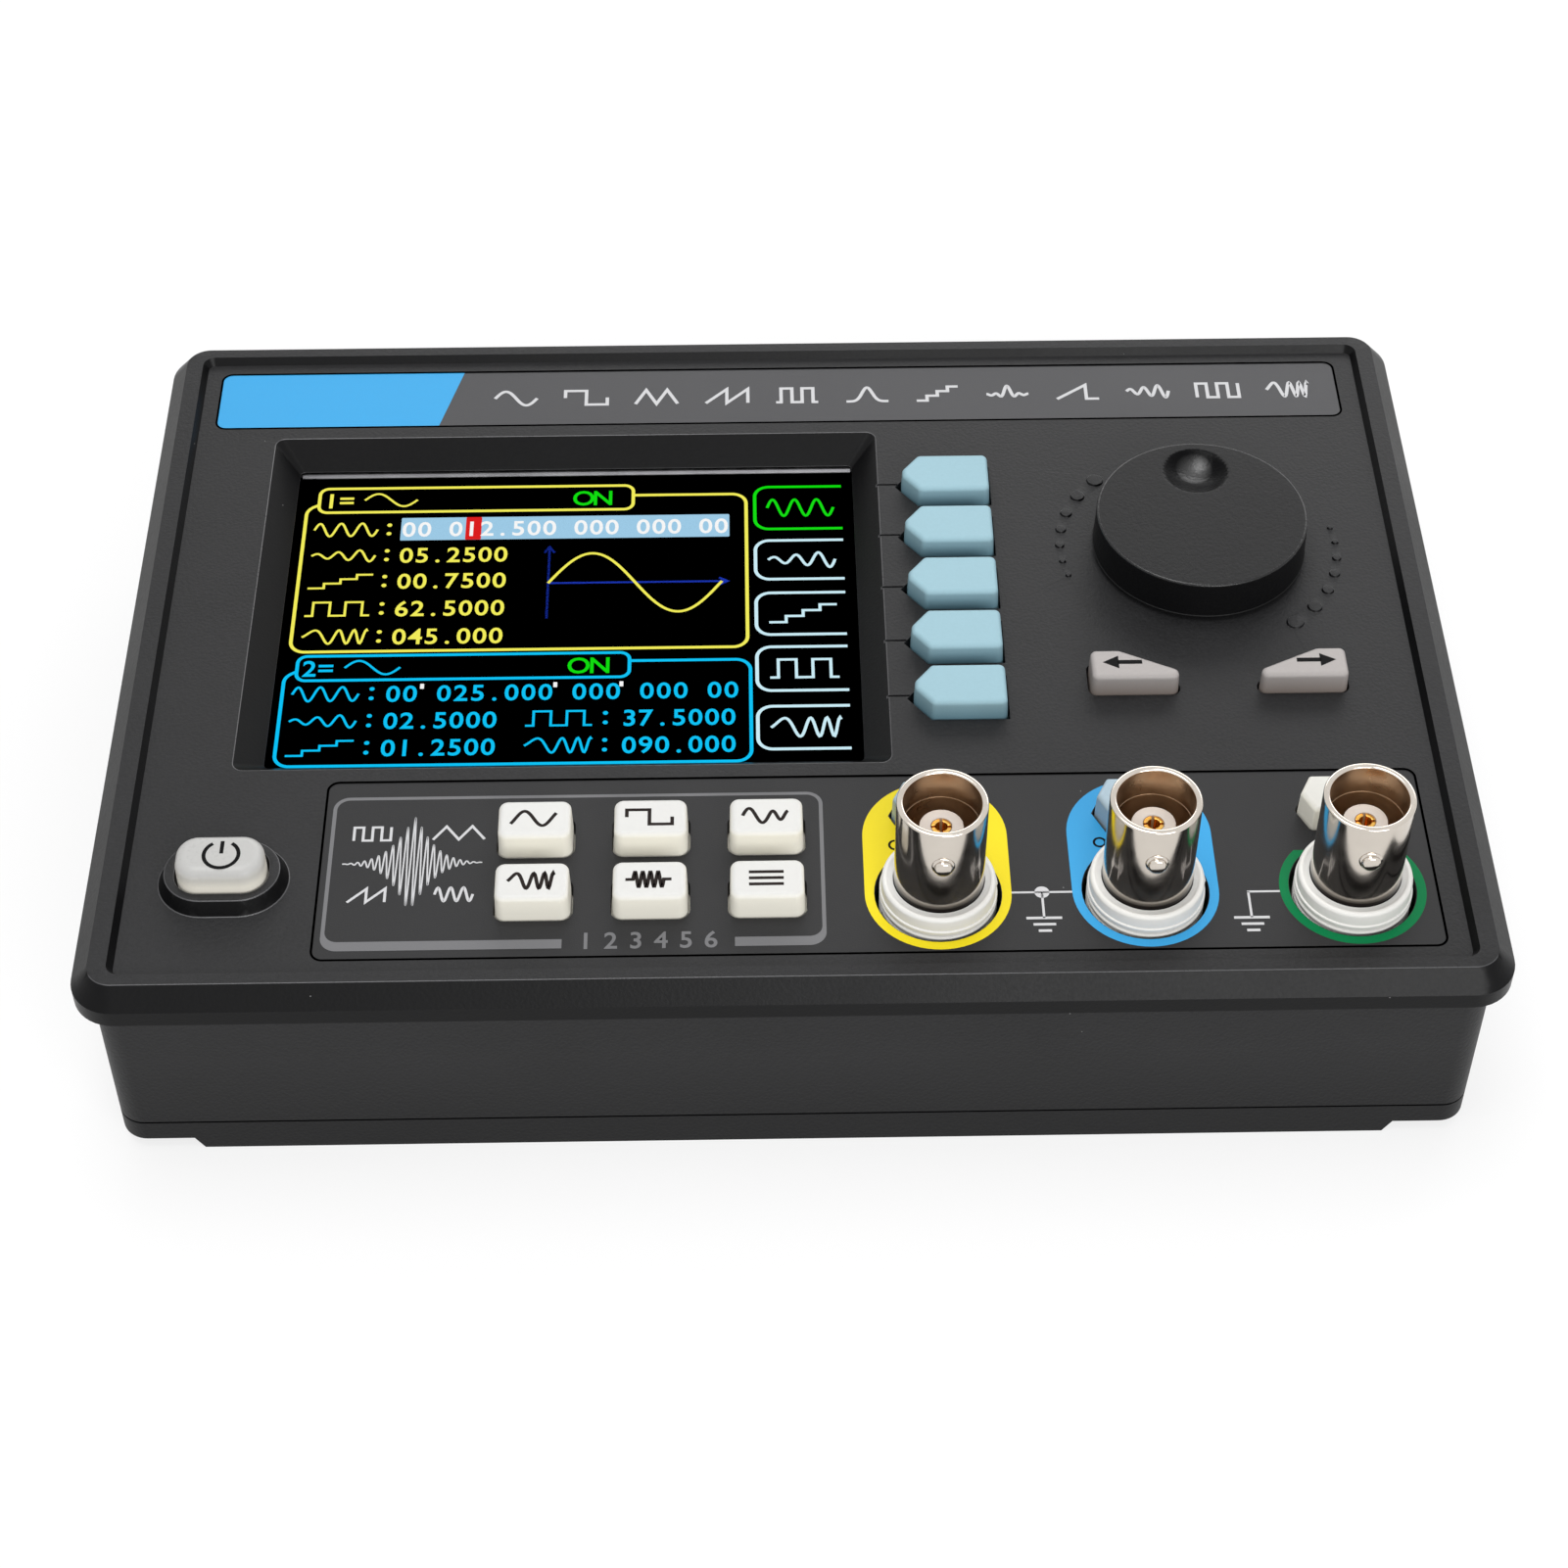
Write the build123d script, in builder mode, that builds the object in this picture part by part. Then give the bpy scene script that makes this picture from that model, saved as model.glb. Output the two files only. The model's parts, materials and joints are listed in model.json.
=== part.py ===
from build123d import *
import os
from math import atan, cos, degrees, radians, sin

# A bench function generator lying on its back: panel up, viewer at -Y, millimetres.
# The origin is on the surface that it rests on, under the middle of its bounding box.
# The display module and the sockets under the board set the case's size, with the margins below.

# ---- Display module ----
lcd_width = 76.0
lcd_depth = 57.6
lcd_thickness = 3.4
lcd_sheet = 0.3             # steel frame's sheet thickness
lcd_side_border = 4.0       # steel frame beside its opening
lcd_front_border = 4.68
lcd_back_border = 3.92
pad_width = 6.0             # foam pads under the module
pad_height = 1.6

# ---- Screen window over the display ----
window_lap_x = 1.4          # how far the display reaches past the window, at each side
window_lap_y = 1.175        # and at the front and the back
window_corner = 1.2
window_slope = 2.95         # sideways run of the window's slopes
window_sink = 2.9           # depth of its lower edge
window_wall = 1.8
lcd_gap = 0.3               # top of the display below the window's lower edge

# ---- Layout across the panel, from the lip's left edge to its right edge ----
window_left = 14.2          # lip to window
soft_gap = 2.8              # window to the soft keys' tips
soft_length = 10.45
knob_gap = 24.15            # soft keys to the knob's axis
knob_right = 27.2           # knob's axis to lip
bnc_right = 16.05           # last socket's axis to lip
bnc_pitch = 22.2
bnc_count = 3
function_gap = 18.25        # first socket's axis to the last function key
function_pitch = 12.5
power_left = 15.0           # lip to the power button's middle

# ---- Layout up the panel, from the lip's front edge to its back edge ----
window_front = 33.105       # lip to window
window_back = 17.945        # window to lip
bnc_front = 13.95           # lip to the sockets' axes
channel_gap = 11.15         # sockets' axes to the channel keys
function_front = 13.7       # lip to the front row of function keys
function_row_pitch = 8.9
power_front = 16.95
knob_above = 6.42           # knob's axis behind the window's middle
arrow_below = 24.0          # knob's axis to the arrow keys' front sides
soft_below = 0.15           # middle soft key in front of the window's middle

# ---- Front case ----
lip_corner = 4.75
lip_overhang = 1.9          # how far the lip stands out past the side walls
lip_thickness = 2.0
rim_rise = 2.3              # bevelled rim above the lip
rim_inset = 2.0
rim_flat = 2.0              # flat top of the rim at the two ends
rim_flat_long = 1.45        # and along the two long sides
panel_drop = 0.9            # panel face below the rim
panel_slope = 0.6           # sideways run of the wall round the panel
panel_corner = 0.8
panel_thickness = 2.2
wall_thickness = 2.4
body_corner = 3.0
inner_corner = 1.0

# ---- Back cover ----
plateau_height = 1.7        # raised middle that the unit rests on
plateau_inset = 8.1         # plateau's ends inside the cover's ends
plateau_slope = 1.0         # sideways run of those ends
cover_height = 3.0
cover_floor = 2.2           # thickness of the cover's floor
ring_height = 1.6           # locating ring that plugs into the front case
ring_thickness = 1.2
seam_height = 0.25          # shadow gap between the two halves of the case
seam_depth = 0.6

# ---- Clearances ----
seat_gap = 0.05             # between fixed pieces that plug into each other
ring_gap = 0.15             # locating ring to case wall
key_gap = 0.25              # key to panel hole
flange_gap = 0.3            # key flange to the panel's underside
plunger_gap = 0.1           # switch plunger to switch body
shaft_gap = 0.06            # encoder shaft to its bushing
label_gap = 0.1             # label film to the edge of its recess
socket_lift = 0.3           # locating ring to the sockets under the board

# ---- Sockets on the back wall, under the board ----
jack_width = 9.0
jack_height = 11.0
jack_depth = 14.0
jack_bore = 3.15
jack_bore_depth = 9.5
jack_pin = 1.05
jack_pin_length = 8.5
usb_width = 12.0
usb_depth = 16.0
usb_mouth_width = 8.45
usb_mouth_height = 7.78
usb_tongue_width = 5.6
usb_tongue_height = 3.2
usb_cup = 9.0
socket_pitch = 38.8         # between the two sockets
socket_sink = 0.2           # socket face inside the wall's outer face
socket_gap = 0.2            # socket to its cut-out

# ---- Circuit board ----
board_thickness = 1.6
board_edge_gap = 1.0

# ---- Levels, from the bench up ----
parting = plateau_height + cover_height
board_bottom = parting + ring_height + socket_lift + jack_height
board_top = board_bottom + board_thickness
lcd_bottom = board_top + pad_height
lcd_top = lcd_bottom + lcd_thickness
panel_face = lcd_top + lcd_gap + window_sink
panel_under = panel_face - panel_thickness
rim_top = panel_face + panel_drop
lip_top = rim_top - rim_rise
lip_bottom = lip_top - lip_thickness

# ---- Outlines of the case, and places that follow from the layout ----
lcd_view_width = lcd_width - 2 * lcd_side_border
lcd_view_depth = lcd_depth - lcd_front_border - lcd_back_border
window_width = lcd_width - 2 * window_lap_x
window_depth = lcd_depth - 2 * window_lap_y
lip_width = window_left + window_width + soft_gap + soft_length + knob_gap + knob_right
lip_depth = window_front + window_depth + window_back
body_width = lip_width - 2 * lip_overhang
body_depth = lip_depth - 2 * lip_overhang
inner_width = body_width - 2 * wall_thickness
inner_depth = body_depth - 2 * wall_thickness
panel_width = lip_width - 2 * (rim_inset + rim_flat + panel_slope)
panel_depth = lip_depth - 2 * (rim_inset + rim_flat_long + panel_slope)
lip_left, lip_right = -lip_width / 2, lip_width / 2
lip_front, lip_back = -lip_depth / 2, lip_depth / 2

window_x = lip_left + window_left + window_width / 2
window_y = lip_front + window_front + window_depth / 2
lcd_x = window_x
lcd_y = window_y - (lcd_front_border - lcd_back_border) / 2
soft_left_x = window_x + window_width / 2 + soft_gap
soft_right_x = soft_left_x + soft_length
soft_middle_y = window_y - soft_below
knob_x = lip_right - knob_right
knob_y = window_y + knob_above
bnc_y = lip_front + bnc_front
bnc_last_x = lip_right - bnc_right
bnc_places = [bnc_last_x - (bnc_count - 1 - i) * bnc_pitch for i in range(bnc_count)]
channel_y = bnc_y + channel_gap
function_last_x = bnc_places[0] - function_gap
power_x = lip_left + power_left
power_y = lip_front + power_front
jack_x = knob_x
usb_x = jack_x - socket_pitch

# ---- Screws, their posts and bosses ----
post_radius = 3.4
post_sink = 0.3             # how far a post merges into the case walls
post_bottom = plateau_height + cover_floor
screw_radius = 1.1
screw_head_radius = 2.1
screw_head_height = 1.4
screw_slot = 0.5            # width of the cross recess
screw_slot_length = 2.7
screw_spare = 1.0           # how much shorter a screw is than its hole
cover_screw_length = 12.0
boss_radius = 2.6
boss_screw_length = 6.7
boss_wall_gap = 3.8         # outer bosses from the inner walls
boss_soft_gap = 5.55        # inner bosses from the soft keys
boss_back = 24.5            # bosses behind and in front of the window's middle
boss_front = 26.3
post_x = inner_width / 2 - post_radius + post_sink
post_y = inner_depth / 2 - post_radius + post_sink
post_places = [(x, y) for x in (-post_x, post_x) for y in (-post_y, post_y)]
boss_reach = inner_width / 2 - boss_wall_gap
boss_columns = [-boss_reach, soft_right_x + boss_soft_gap, boss_reach]
boss_rows = [window_y - boss_front, window_y + boss_back]
boss_places = [(x, y) for x in boss_columns for y in boss_rows]

# ---- Keys ----
key_wall = 1.2
key_flange = 1.0            # sideways reach of the flange under the panel
key_flange_thickness = 1.0
key_draft = 0.1             # how much smaller a key is at its top, on each side
key_edge = 0.6              # rounding of a key's top edge
flange_top = panel_under - flange_gap
flange_bottom = flange_top - key_flange_thickness

switch_size = 6.0
switch_height = 3.5
switch_travel = 0.3
stem_reach = 0.4            # key stem below the key's flange
plunger_radius = 1.75
plunger_depth = 1.1         # plunger inside the switch body
plunger_top = flange_bottom - stem_reach
plunger_bottom = board_top + switch_height - plunger_depth

function_rise = 3.2
function_width = 8.0
function_depth = 5.4
function_corner = 1.1
function_column_count = 3
function_row_count = 2
function_places = [
    (
        function_last_x - (function_column_count - 1 - column) * function_pitch,
        lip_front + function_front + row * function_row_pitch,
    )
    for row in reversed(range(function_row_count))
    for column in range(function_column_count)
]

soft_rise = 2.5
soft_blunt = 0.45           # how much the key's tip is blunted
soft_shoulder = 2.0         # tip to the end of the slanted sides
soft_depth = 6.3
soft_corner = 0.8
soft_pitch = 8.86
soft_travel = 1.0
soft_count = 5
soft_tip_x = soft_left_x - soft_blunt
soft_shoulder_x = soft_left_x + soft_shoulder
soft_rows = [soft_middle_y + ((soft_count - 1) / 2 - i) * soft_pitch for i in range(soft_count)]
soft_x = (soft_shoulder_x + soft_right_x) / 2
pill_radius = 2.0
mat_thickness = 1.0
mat_margin = 1.5
groove_width = 0.3          # fine grooves from the window to the soft keys' tips
groove_depth = 0.2
groove_lift = 0.45          # groove behind the key's middle
groove_start = 0.6          # groove into the window's slope

arrow_rise = 2.7
arrow_inner = 4.6           # from the knob's axis, sideways
arrow_outer = 14.55
arrow_step = 11.2           # where the slanted side meets the back
arrow_side = 1.4            # front side to the start of the slanted side
arrow_depth = 4.6
arrow_corner = 0.8
arrow_stem_inset = 2.6      # stem and switch from the key's outer side
arrow_front_y = knob_y - arrow_below

channel_rise = 3.0
channel_tip = 4.6           # half width at the side points
channel_flat = 3.3          # half width of the front and back sides
channel_depth = 5.3
channel_corner = 0.4

power_rise = 4.5
power_width = 9.6
power_depth = 6.0
power_corner = 2.5
power_edge = 1.2            # rounding of its top edge
collar_width = 14.0
collar_depth = 10.2
collar_rise = 1.7
collar_taper = 25.0

# ---- Encoder and knob ----
encoder_width = 12.0
encoder_depth = 13.0
encoder_height = 5.5
encoder_floor = 0.5
bushing_radius = 3.5
bushing_rise = 1.0          # bushing above the panel
bushing_top = panel_face + bushing_rise
bushing_hole_gap = 0.3
shaft_radius = 3.0
shaft_flat = 1.5            # depth of the flat at the shaft's end
shaft_rise = 3.6
shaft_top = panel_face + shaft_rise
shaft_lift = 1.9            # shaft's lower end above the board
shaft_bottom = board_top + shaft_lift
push_travel = 0.5
push_radius = 2.8
push_thickness = 0.7
knob_radius = 12.5
knob_top_radius = 12.2
knob_rise = 5.5
knob_lift = 0.7             # gap under the knob
knob_edge = 0.3
knob_wall = 1.5
knob_roof = 1.5
knob_hub_radius = 4.9
knob_recess_radius = 4.0
knob_recess_gap = 0.3       # left over the bushing when the knob is pushed
dimple_radius = 3.8
dimple_depth = 1.3
dimple_offset = 7.3
dot_ring = 16.3
dot_radii = [1.05, 0.9, 0.75, 0.68, 0.58, 0.45, 0.38]
dot_angles = [0.0, 12.7, 24.5, 34.9, 44.5, 54.1, 62.8]
dot_starts = [-52.3, 133.5]
dot_rise = 0.25
dot_taper = 30.0

# ---- Coaxial sockets ----
bnc_rise = 14.4             # rim above the panel
bnc_radius = 4.825
bnc_bore = 4.1
bnc_inner_bore = 3.9
bnc_mouth = 3.7             # rim to dielectric
bnc_cup = 11.0              # rim to the floor of the barrel
bnc_edge = 0.2
lug_radius = 1.0
lug_reach = 5.5
lug_drop = 4.7
base_radius = 6.35
base_rise = 2.5
base_edge = 0.5
base_groove_radius = 5.5
base_groove = 0.5
bnc_hole_gap = 0.45
barrel_tail = 6.0           # barrel's tail below the panel
dielectric_radius = 2.35
contact_radius = 1.05
contact_bore = 0.675
contact_depth = 5.0
contact_sink = 0.1          # contact below the dielectric's face
contact_slot = 0.3
pin_radius = 0.5
pin_tail = 1.4              # solder pin below the board

# ---- Label films, each as (low x, low y, high x, high y) of its recess ----
label_sink = 0.3
label_thickness = 0.25
label_corner = 1.2
label_window_gap = 1.97     # recesses from the window
label_right = 6.95          # recesses from the lip
header_left = 6.5
header_back = 5.7
lower_front = 5.65
lower_left = 23.2           # recess from the first function key's middle
header_recess = (
    lip_left + header_left,
    window_y + window_depth / 2 + label_window_gap,
    lip_right - label_right,
    lip_back - header_back,
)
lower_recess = (
    function_places[0][0] - lower_left,
    lip_front + lower_front,
    lip_right - label_right,
    window_y - window_depth / 2 - label_window_gap,
)

# ---- Components under the board ----
chip_height = 1.5
logic_size = 20.0
memory_size = 14.0
chip_spacing = 32.0
amplifier_width = 10.0
amplifier_depth = 7.5
can_radius = 4.0
can_height = 9.0
can_pitch = 12.0
can_gap = 10.0              # capacitors behind the knob's axis
relay_width = 7.5
relay_depth = 15.0
relay_height = 10.0
relay_gap = 15.2            # output relays behind the sockets' axes

os.makedirs("parts", exist_ok=True)


# ---- Outlines shared by a key, its hole in the panel and its hole in the label ----
def function_outline(x, y):
    with BuildSketch() as outline:
        with Locations((x, y)):
            RectangleRounded(function_width, function_depth, function_corner)
    return outline.sketch


def soft_tip(y):
    half = soft_depth / 2
    with BuildSketch() as outline:
        with BuildLine():
            Polyline(
                (soft_tip_x, y),
                (soft_shoulder_x, y - half),
                (soft_right_x, y - half),
                (soft_right_x, y + half),
                (soft_shoulder_x, y + half),
                close=True,
            )
        make_face()
    return outline.sketch


def soft_outline(y):
    half = soft_depth / 2
    blunt_half = half * soft_blunt / (soft_shoulder_x - soft_tip_x)
    with BuildSketch() as outline:
        with BuildLine():
            Polyline(
                (soft_left_x, y + blunt_half),
                (soft_left_x, y - blunt_half),
                (soft_shoulder_x, y - half),
                (soft_right_x, y - half),
                (soft_right_x, y + half),
                (soft_shoulder_x, y + half),
                close=True,
            )
        make_face()
        fillet(outline.vertices(), soft_corner)
    return outline.sketch


def arrow_outline(side):
    corners = [
        (knob_x + side * arrow_outer, arrow_front_y),
        (knob_x + side * arrow_inner, arrow_front_y),
        (knob_x + side * arrow_inner, arrow_front_y + arrow_side),
        (knob_x + side * arrow_step, arrow_front_y + arrow_depth),
        (knob_x + side * arrow_outer, arrow_front_y + arrow_depth),
    ]
    with BuildSketch() as outline:
        with BuildLine():
            Polyline(*corners[::-side], close=True)
        make_face()
        fillet(outline.vertices(), arrow_corner)
    return outline.sketch


def channel_outline(x):
    half = channel_depth / 2
    with BuildSketch() as outline:
        with BuildLine():
            Polyline(
                (x - channel_tip, channel_y),
                (x - channel_flat, channel_y - half),
                (x + channel_flat, channel_y - half),
                (x + channel_tip, channel_y),
                (x + channel_flat, channel_y + half),
                (x - channel_flat, channel_y + half),
                close=True,
            )
        make_face()
        fillet(outline.vertices(), channel_corner)
    return outline.sketch


def power_outline():
    with BuildSketch() as outline:
        with Locations((power_x, power_y)):
            RectangleRounded(power_width, power_depth, power_corner)
    return outline.sketch


def label_outline(recess, gap):
    low_x, low_y, high_x, high_y = recess
    with BuildSketch() as outline:
        with Locations(((low_x + high_x) / 2, (low_y + high_y) / 2)):
            RectangleRounded(high_x - low_x - 2 * gap, high_y - low_y - 2 * gap, label_corner)
    return outline.sketch


def socket_outline(x, width, height, gap):
    with BuildSketch() as outline:
        with Locations((x, board_bottom - height / 2)):
            Rectangle(width + 2 * gap, height + 2 * gap)
    return outline.sketch


arrow_x = arrow_outer - arrow_stem_inset
arrow_y = arrow_front_y + arrow_depth / 2
tact_keys = {}
for i, (x, y) in enumerate(function_places):
    tact_keys[f"function_key_{i + 1}"] = (function_outline(x, y), x, y, function_rise)
tact_keys["arrow_key_left"] = (arrow_outline(-1), knob_x - arrow_x, arrow_y, arrow_rise)
tact_keys["arrow_key_right"] = (arrow_outline(1), knob_x + arrow_x, arrow_y, arrow_rise)
for i, x in enumerate(bnc_places):
    tact_keys[f"channel_key_{i + 1}"] = (channel_outline(x), x, channel_y, channel_rise)
tact_keys["power_button"] = (power_outline(), power_x, power_y, power_rise)
switch_places = [(x, y) for _, x, y, _ in tact_keys.values()]


# ---- Front case: side walls, lip, bevelled rim and panel in one moulding ----
with BuildPart() as front_case:
    with BuildSketch(Plane.XY.offset(parting)):
        RectangleRounded(body_width, body_depth, body_corner)
    extrude(amount=lip_bottom - parting)
    with BuildSketch(Plane.XY.offset(lip_bottom)):
        RectangleRounded(lip_width, lip_depth, lip_corner)
    extrude(amount=lip_thickness)
    with BuildSketch(Plane.XY.offset(lip_top)):
        RectangleRounded(lip_width, lip_depth, lip_corner)
    extrude(amount=rim_rise, taper=degrees(atan(rim_inset / rim_rise)))

    # Panel recess, then the hollow behind it.
    with BuildSketch(Plane.XY.offset(panel_face)):
        RectangleRounded(panel_width, panel_depth, panel_corner)
    with BuildSketch(Plane.XY.offset(rim_top)):
        RectangleRounded(
            panel_width + 2 * panel_slope,
            panel_depth + 2 * panel_slope,
            panel_corner + panel_slope,
        )
    loft(mode=Mode.SUBTRACT)
    with BuildSketch(Plane.XY.offset(parting)):
        RectangleRounded(inner_width, inner_depth, inner_corner)
    extrude(amount=panel_under - parting, mode=Mode.SUBTRACT)

    # Screw posts to the back cover and bosses that carry the board.
    with BuildSketch(Plane.XY.offset(post_bottom)):
        with Locations(*post_places):
            Circle(post_radius)
    extrude(amount=panel_under - post_bottom)
    with BuildSketch(Plane.XY.offset(board_top)):
        with Locations(*boss_places):
            Circle(boss_radius)
    extrude(amount=panel_under - board_top)
    with BuildSketch(Plane.XY.offset(post_bottom)):
        with Locations(*post_places):
            Circle(screw_radius + seat_gap)
    extrude(amount=cover_screw_length, mode=Mode.SUBTRACT)
    with BuildSketch(Plane.XY.offset(board_top)):
        with Locations(*boss_places):
            Circle(screw_radius + seat_gap)
    extrude(amount=boss_screw_length - board_thickness, mode=Mode.SUBTRACT)

    # Sloping screen window with its wall below the panel.
    with BuildSketch(Plane.XY.offset(panel_face - window_sink)):
        with Locations((window_x, window_y)):
            RectangleRounded(
                window_width - 2 * (window_slope - window_wall),
                window_depth - 2 * (window_slope - window_wall),
                window_corner,
            )
    extrude(amount=window_sink - panel_thickness)
    with BuildSketch(Plane.XY.offset(panel_face - window_sink)):
        with Locations((window_x, window_y)):
            RectangleRounded(
                window_width - 2 * window_slope,
                window_depth - 2 * window_slope,
                window_corner / 2,
            )
    with BuildSketch(Plane.XY.offset(panel_face)):
        with Locations((window_x, window_y)):
            RectangleRounded(window_width, window_depth, window_corner)
    loft(mode=Mode.SUBTRACT)

    # Fine grooves that lead from the screen to the soft keys.
    groove_low_x = window_x + window_width / 2 - groove_start
    with BuildSketch(Plane.XY.offset(panel_face)):
        with Locations(*[((groove_low_x + soft_tip_x) / 2, y + groove_lift) for y in soft_rows]):
            Rectangle(soft_tip_x - groove_low_x, groove_width)
    extrude(amount=-groove_depth, mode=Mode.SUBTRACT)

    # Power button's raised collar.
    with BuildSketch(Plane.XY.offset(panel_face)):
        with Locations((power_x, power_y)):
            SlotOverall(collar_width, collar_depth)
    extrude(amount=collar_rise, taper=collar_taper)

    # Dots that grow along two arcs round the knob.
    with BuildSketch(Plane.XY.offset(panel_face)):
        for start in dot_starts:
            for angle, radius in zip(dot_angles, dot_radii):
                turn = radians(start + angle)
                with Locations((knob_x + dot_ring * cos(turn), knob_y + dot_ring * sin(turn))):
                    Circle(radius)
    extrude(amount=dot_rise, taper=dot_taper)

    # Label recesses.
    with BuildSketch(Plane.XY.offset(panel_face - label_sink)):
        add(label_outline(header_recess, 0.0))
        add(label_outline(lower_recess, 0.0))
    extrude(amount=label_sink, mode=Mode.SUBTRACT)

    # Key, encoder and socket holes.
    with BuildSketch(Plane.XY.offset(panel_under)):
        for outline, _, _, _ in tact_keys.values():
            add(outline)
        offset(amount=key_gap)
        with Locations((knob_x, knob_y)):
            Circle(bushing_radius + bushing_hole_gap)
        with Locations(*[(x, bnc_y) for x in bnc_places]):
            Circle(base_radius + bnc_hole_gap)
    extrude(amount=panel_thickness + collar_rise, mode=Mode.SUBTRACT)
    with BuildSketch(Plane.XY.offset(panel_under)):
        for y in soft_rows:
            add(soft_tip(y))
        offset(amount=key_gap, kind=Kind.INTERSECTION)
    extrude(amount=panel_thickness, mode=Mode.SUBTRACT)

    # Cut-outs in the back wall.
    back_wall = Plane(origin=(0, inner_depth / 2, 0), x_dir=(1, 0, 0), z_dir=(0, -1, 0))
    with BuildSketch(back_wall):
        add(socket_outline(jack_x, jack_width, jack_height, socket_gap))
        add(socket_outline(usb_x, usb_width, jack_height, socket_gap))
    extrude(amount=-wall_thickness, mode=Mode.SUBTRACT)

front_case.part.label = "front_case"
export_step(front_case.part, "parts/front_case.step")


# ---- Back cover: shallow tray with the plateau that the unit rests on ----
plateau_width = body_width - 2 * plateau_inset
with BuildPart() as back_cover:
    with BuildSketch(Plane.XY.offset(plateau_height)):
        RectangleRounded(body_width, body_depth, body_corner)
    extrude(amount=cover_height)
    with BuildSketch(Plane.XY):
        Rectangle(plateau_width - 2 * plateau_slope, body_depth)
    with BuildSketch(Plane.XY.offset(plateau_height)):
        Rectangle(plateau_width, body_depth)
    loft()
    with BuildSketch(Plane.XY.offset(post_bottom)):
        RectangleRounded(inner_width, inner_depth, inner_corner)
        with Locations(*post_places):
            Circle(post_radius + seat_gap)
    extrude(amount=parting - post_bottom, mode=Mode.SUBTRACT)
    with BuildSketch(Plane.XY.offset(cover_floor)):
        RectangleRounded(
            plateau_width - 2 * (plateau_slope + cover_floor),
            body_depth - 2 * (wall_thickness + cover_floor),
            inner_corner,
        )
    extrude(amount=plateau_height, mode=Mode.SUBTRACT)

    # Shadow gap round the seam.
    with BuildSketch(Plane.XY.offset(parting)):
        RectangleRounded(body_width, body_depth, body_corner)
        RectangleRounded(
            body_width - 2 * seam_depth,
            body_depth - 2 * seam_depth,
            body_corner - seam_depth,
            mode=Mode.SUBTRACT,
        )
    extrude(amount=-seam_height, mode=Mode.SUBTRACT)

    # Locating ring, open where the posts stand.
    with BuildSketch(Plane.XY.offset(post_bottom)):
        RectangleRounded(inner_width - 2 * ring_gap, inner_depth - 2 * ring_gap, inner_corner)
        RectangleRounded(
            inner_width - 2 * (ring_gap + ring_thickness),
            inner_depth - 2 * (ring_gap + ring_thickness),
            inner_corner,
            mode=Mode.SUBTRACT,
        )
        with Locations(*post_places):
            Circle(post_radius + 2 * ring_gap, mode=Mode.SUBTRACT)
    extrude(amount=parting + ring_height - post_bottom)
    with Locations(*[Location((x, y, plateau_height), (180, 0, 0)) for x, y in post_places]):
        CounterBoreHole(
            radius=screw_radius + ring_gap,
            counter_bore_radius=screw_head_radius + ring_gap,
            counter_bore_depth=screw_head_height,
            depth=cover_height,
        )

back_cover.part.label = "back_cover"
export_step(back_cover.part, "parts/back_cover.step")


# ---- Screws ----
def screws(places, seat, length, label):
    """Pan-head screws driven upwards, their heads under the level named seat."""
    with BuildPart() as group:
        with BuildSketch(Plane.XY.offset(seat - screw_head_height)):
            with Locations(*places):
                Circle(screw_head_radius)
        extrude(amount=screw_head_height)
        with BuildSketch(Plane.XY.offset(seat)):
            with Locations(*places):
                Circle(screw_radius)
        extrude(amount=length)
        with BuildSketch(Plane.XY.offset(seat - screw_head_height)):
            for angle in (0, 90):
                with Locations(*places):
                    Rectangle(screw_slot, screw_slot_length, rotation=angle)
        extrude(amount=screw_head_height / 2, mode=Mode.SUBTRACT)
    group.part.label = label
    export_step(group.part, f"parts/{label}.step")


screw_seat = plateau_height + screw_head_height
screws(post_places, screw_seat, cover_screw_length - screw_spare, "back_cover_screws")
screws(boss_places, board_bottom, boss_screw_length - screw_spare, "board_screws")


# ---- Main board ----
with BuildPart() as main_board:
    with BuildSketch(Plane.XY.offset(board_bottom)):
        Rectangle(inner_width - 2 * board_edge_gap, inner_depth - 2 * board_edge_gap)
        with Locations(*post_places):
            Circle(post_radius + board_edge_gap, mode=Mode.SUBTRACT)
        with Locations(*[(2 * x, 2 * y) for x, y in post_places]):
            Rectangle(2 * post_x, 2 * post_y, mode=Mode.SUBTRACT)
        with Locations(*boss_places):
            Circle(screw_radius + ring_gap, mode=Mode.SUBTRACT)
        with Locations(*[(x, bnc_y) for x in bnc_places]):
            Circle(pin_radius + seat_gap, mode=Mode.SUBTRACT)
    extrude(amount=board_thickness)

main_board.part.label = "main_board"
export_step(main_board.part, "parts/main_board.step")


# ---- Components under the board: chips, capacitors and output relays ----
with BuildPart() as board_components:
    with BuildSketch(Plane.XY.offset(board_bottom)):
        with Locations((lcd_x + chip_spacing / 2, lcd_y)):
            Rectangle(logic_size, logic_size)
        with Locations((lcd_x - chip_spacing / 2, lcd_y)):
            Rectangle(memory_size, memory_size)
        with Locations((soft_x, lcd_y), (knob_x, knob_y - can_pitch)):
            Rectangle(amplifier_width, amplifier_depth)
    extrude(amount=-chip_height)
    with BuildSketch(Plane.XY.offset(board_bottom)):
        with Locations((knob_x, knob_y + can_gap)):
            with GridLocations(can_pitch, 0, 2, 1):
                Circle(can_radius)
    extrude(amount=-can_height)
    with BuildSketch(Plane.XY.offset(board_bottom)):
        with Locations(*[(x, bnc_y + relay_gap) for x in bnc_places[:-1]]):
            Rectangle(relay_width, relay_depth)
    extrude(amount=-relay_height)

board_components.part.label = "board_components"
export_step(board_components.part, "parts/board_components.step")


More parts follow.
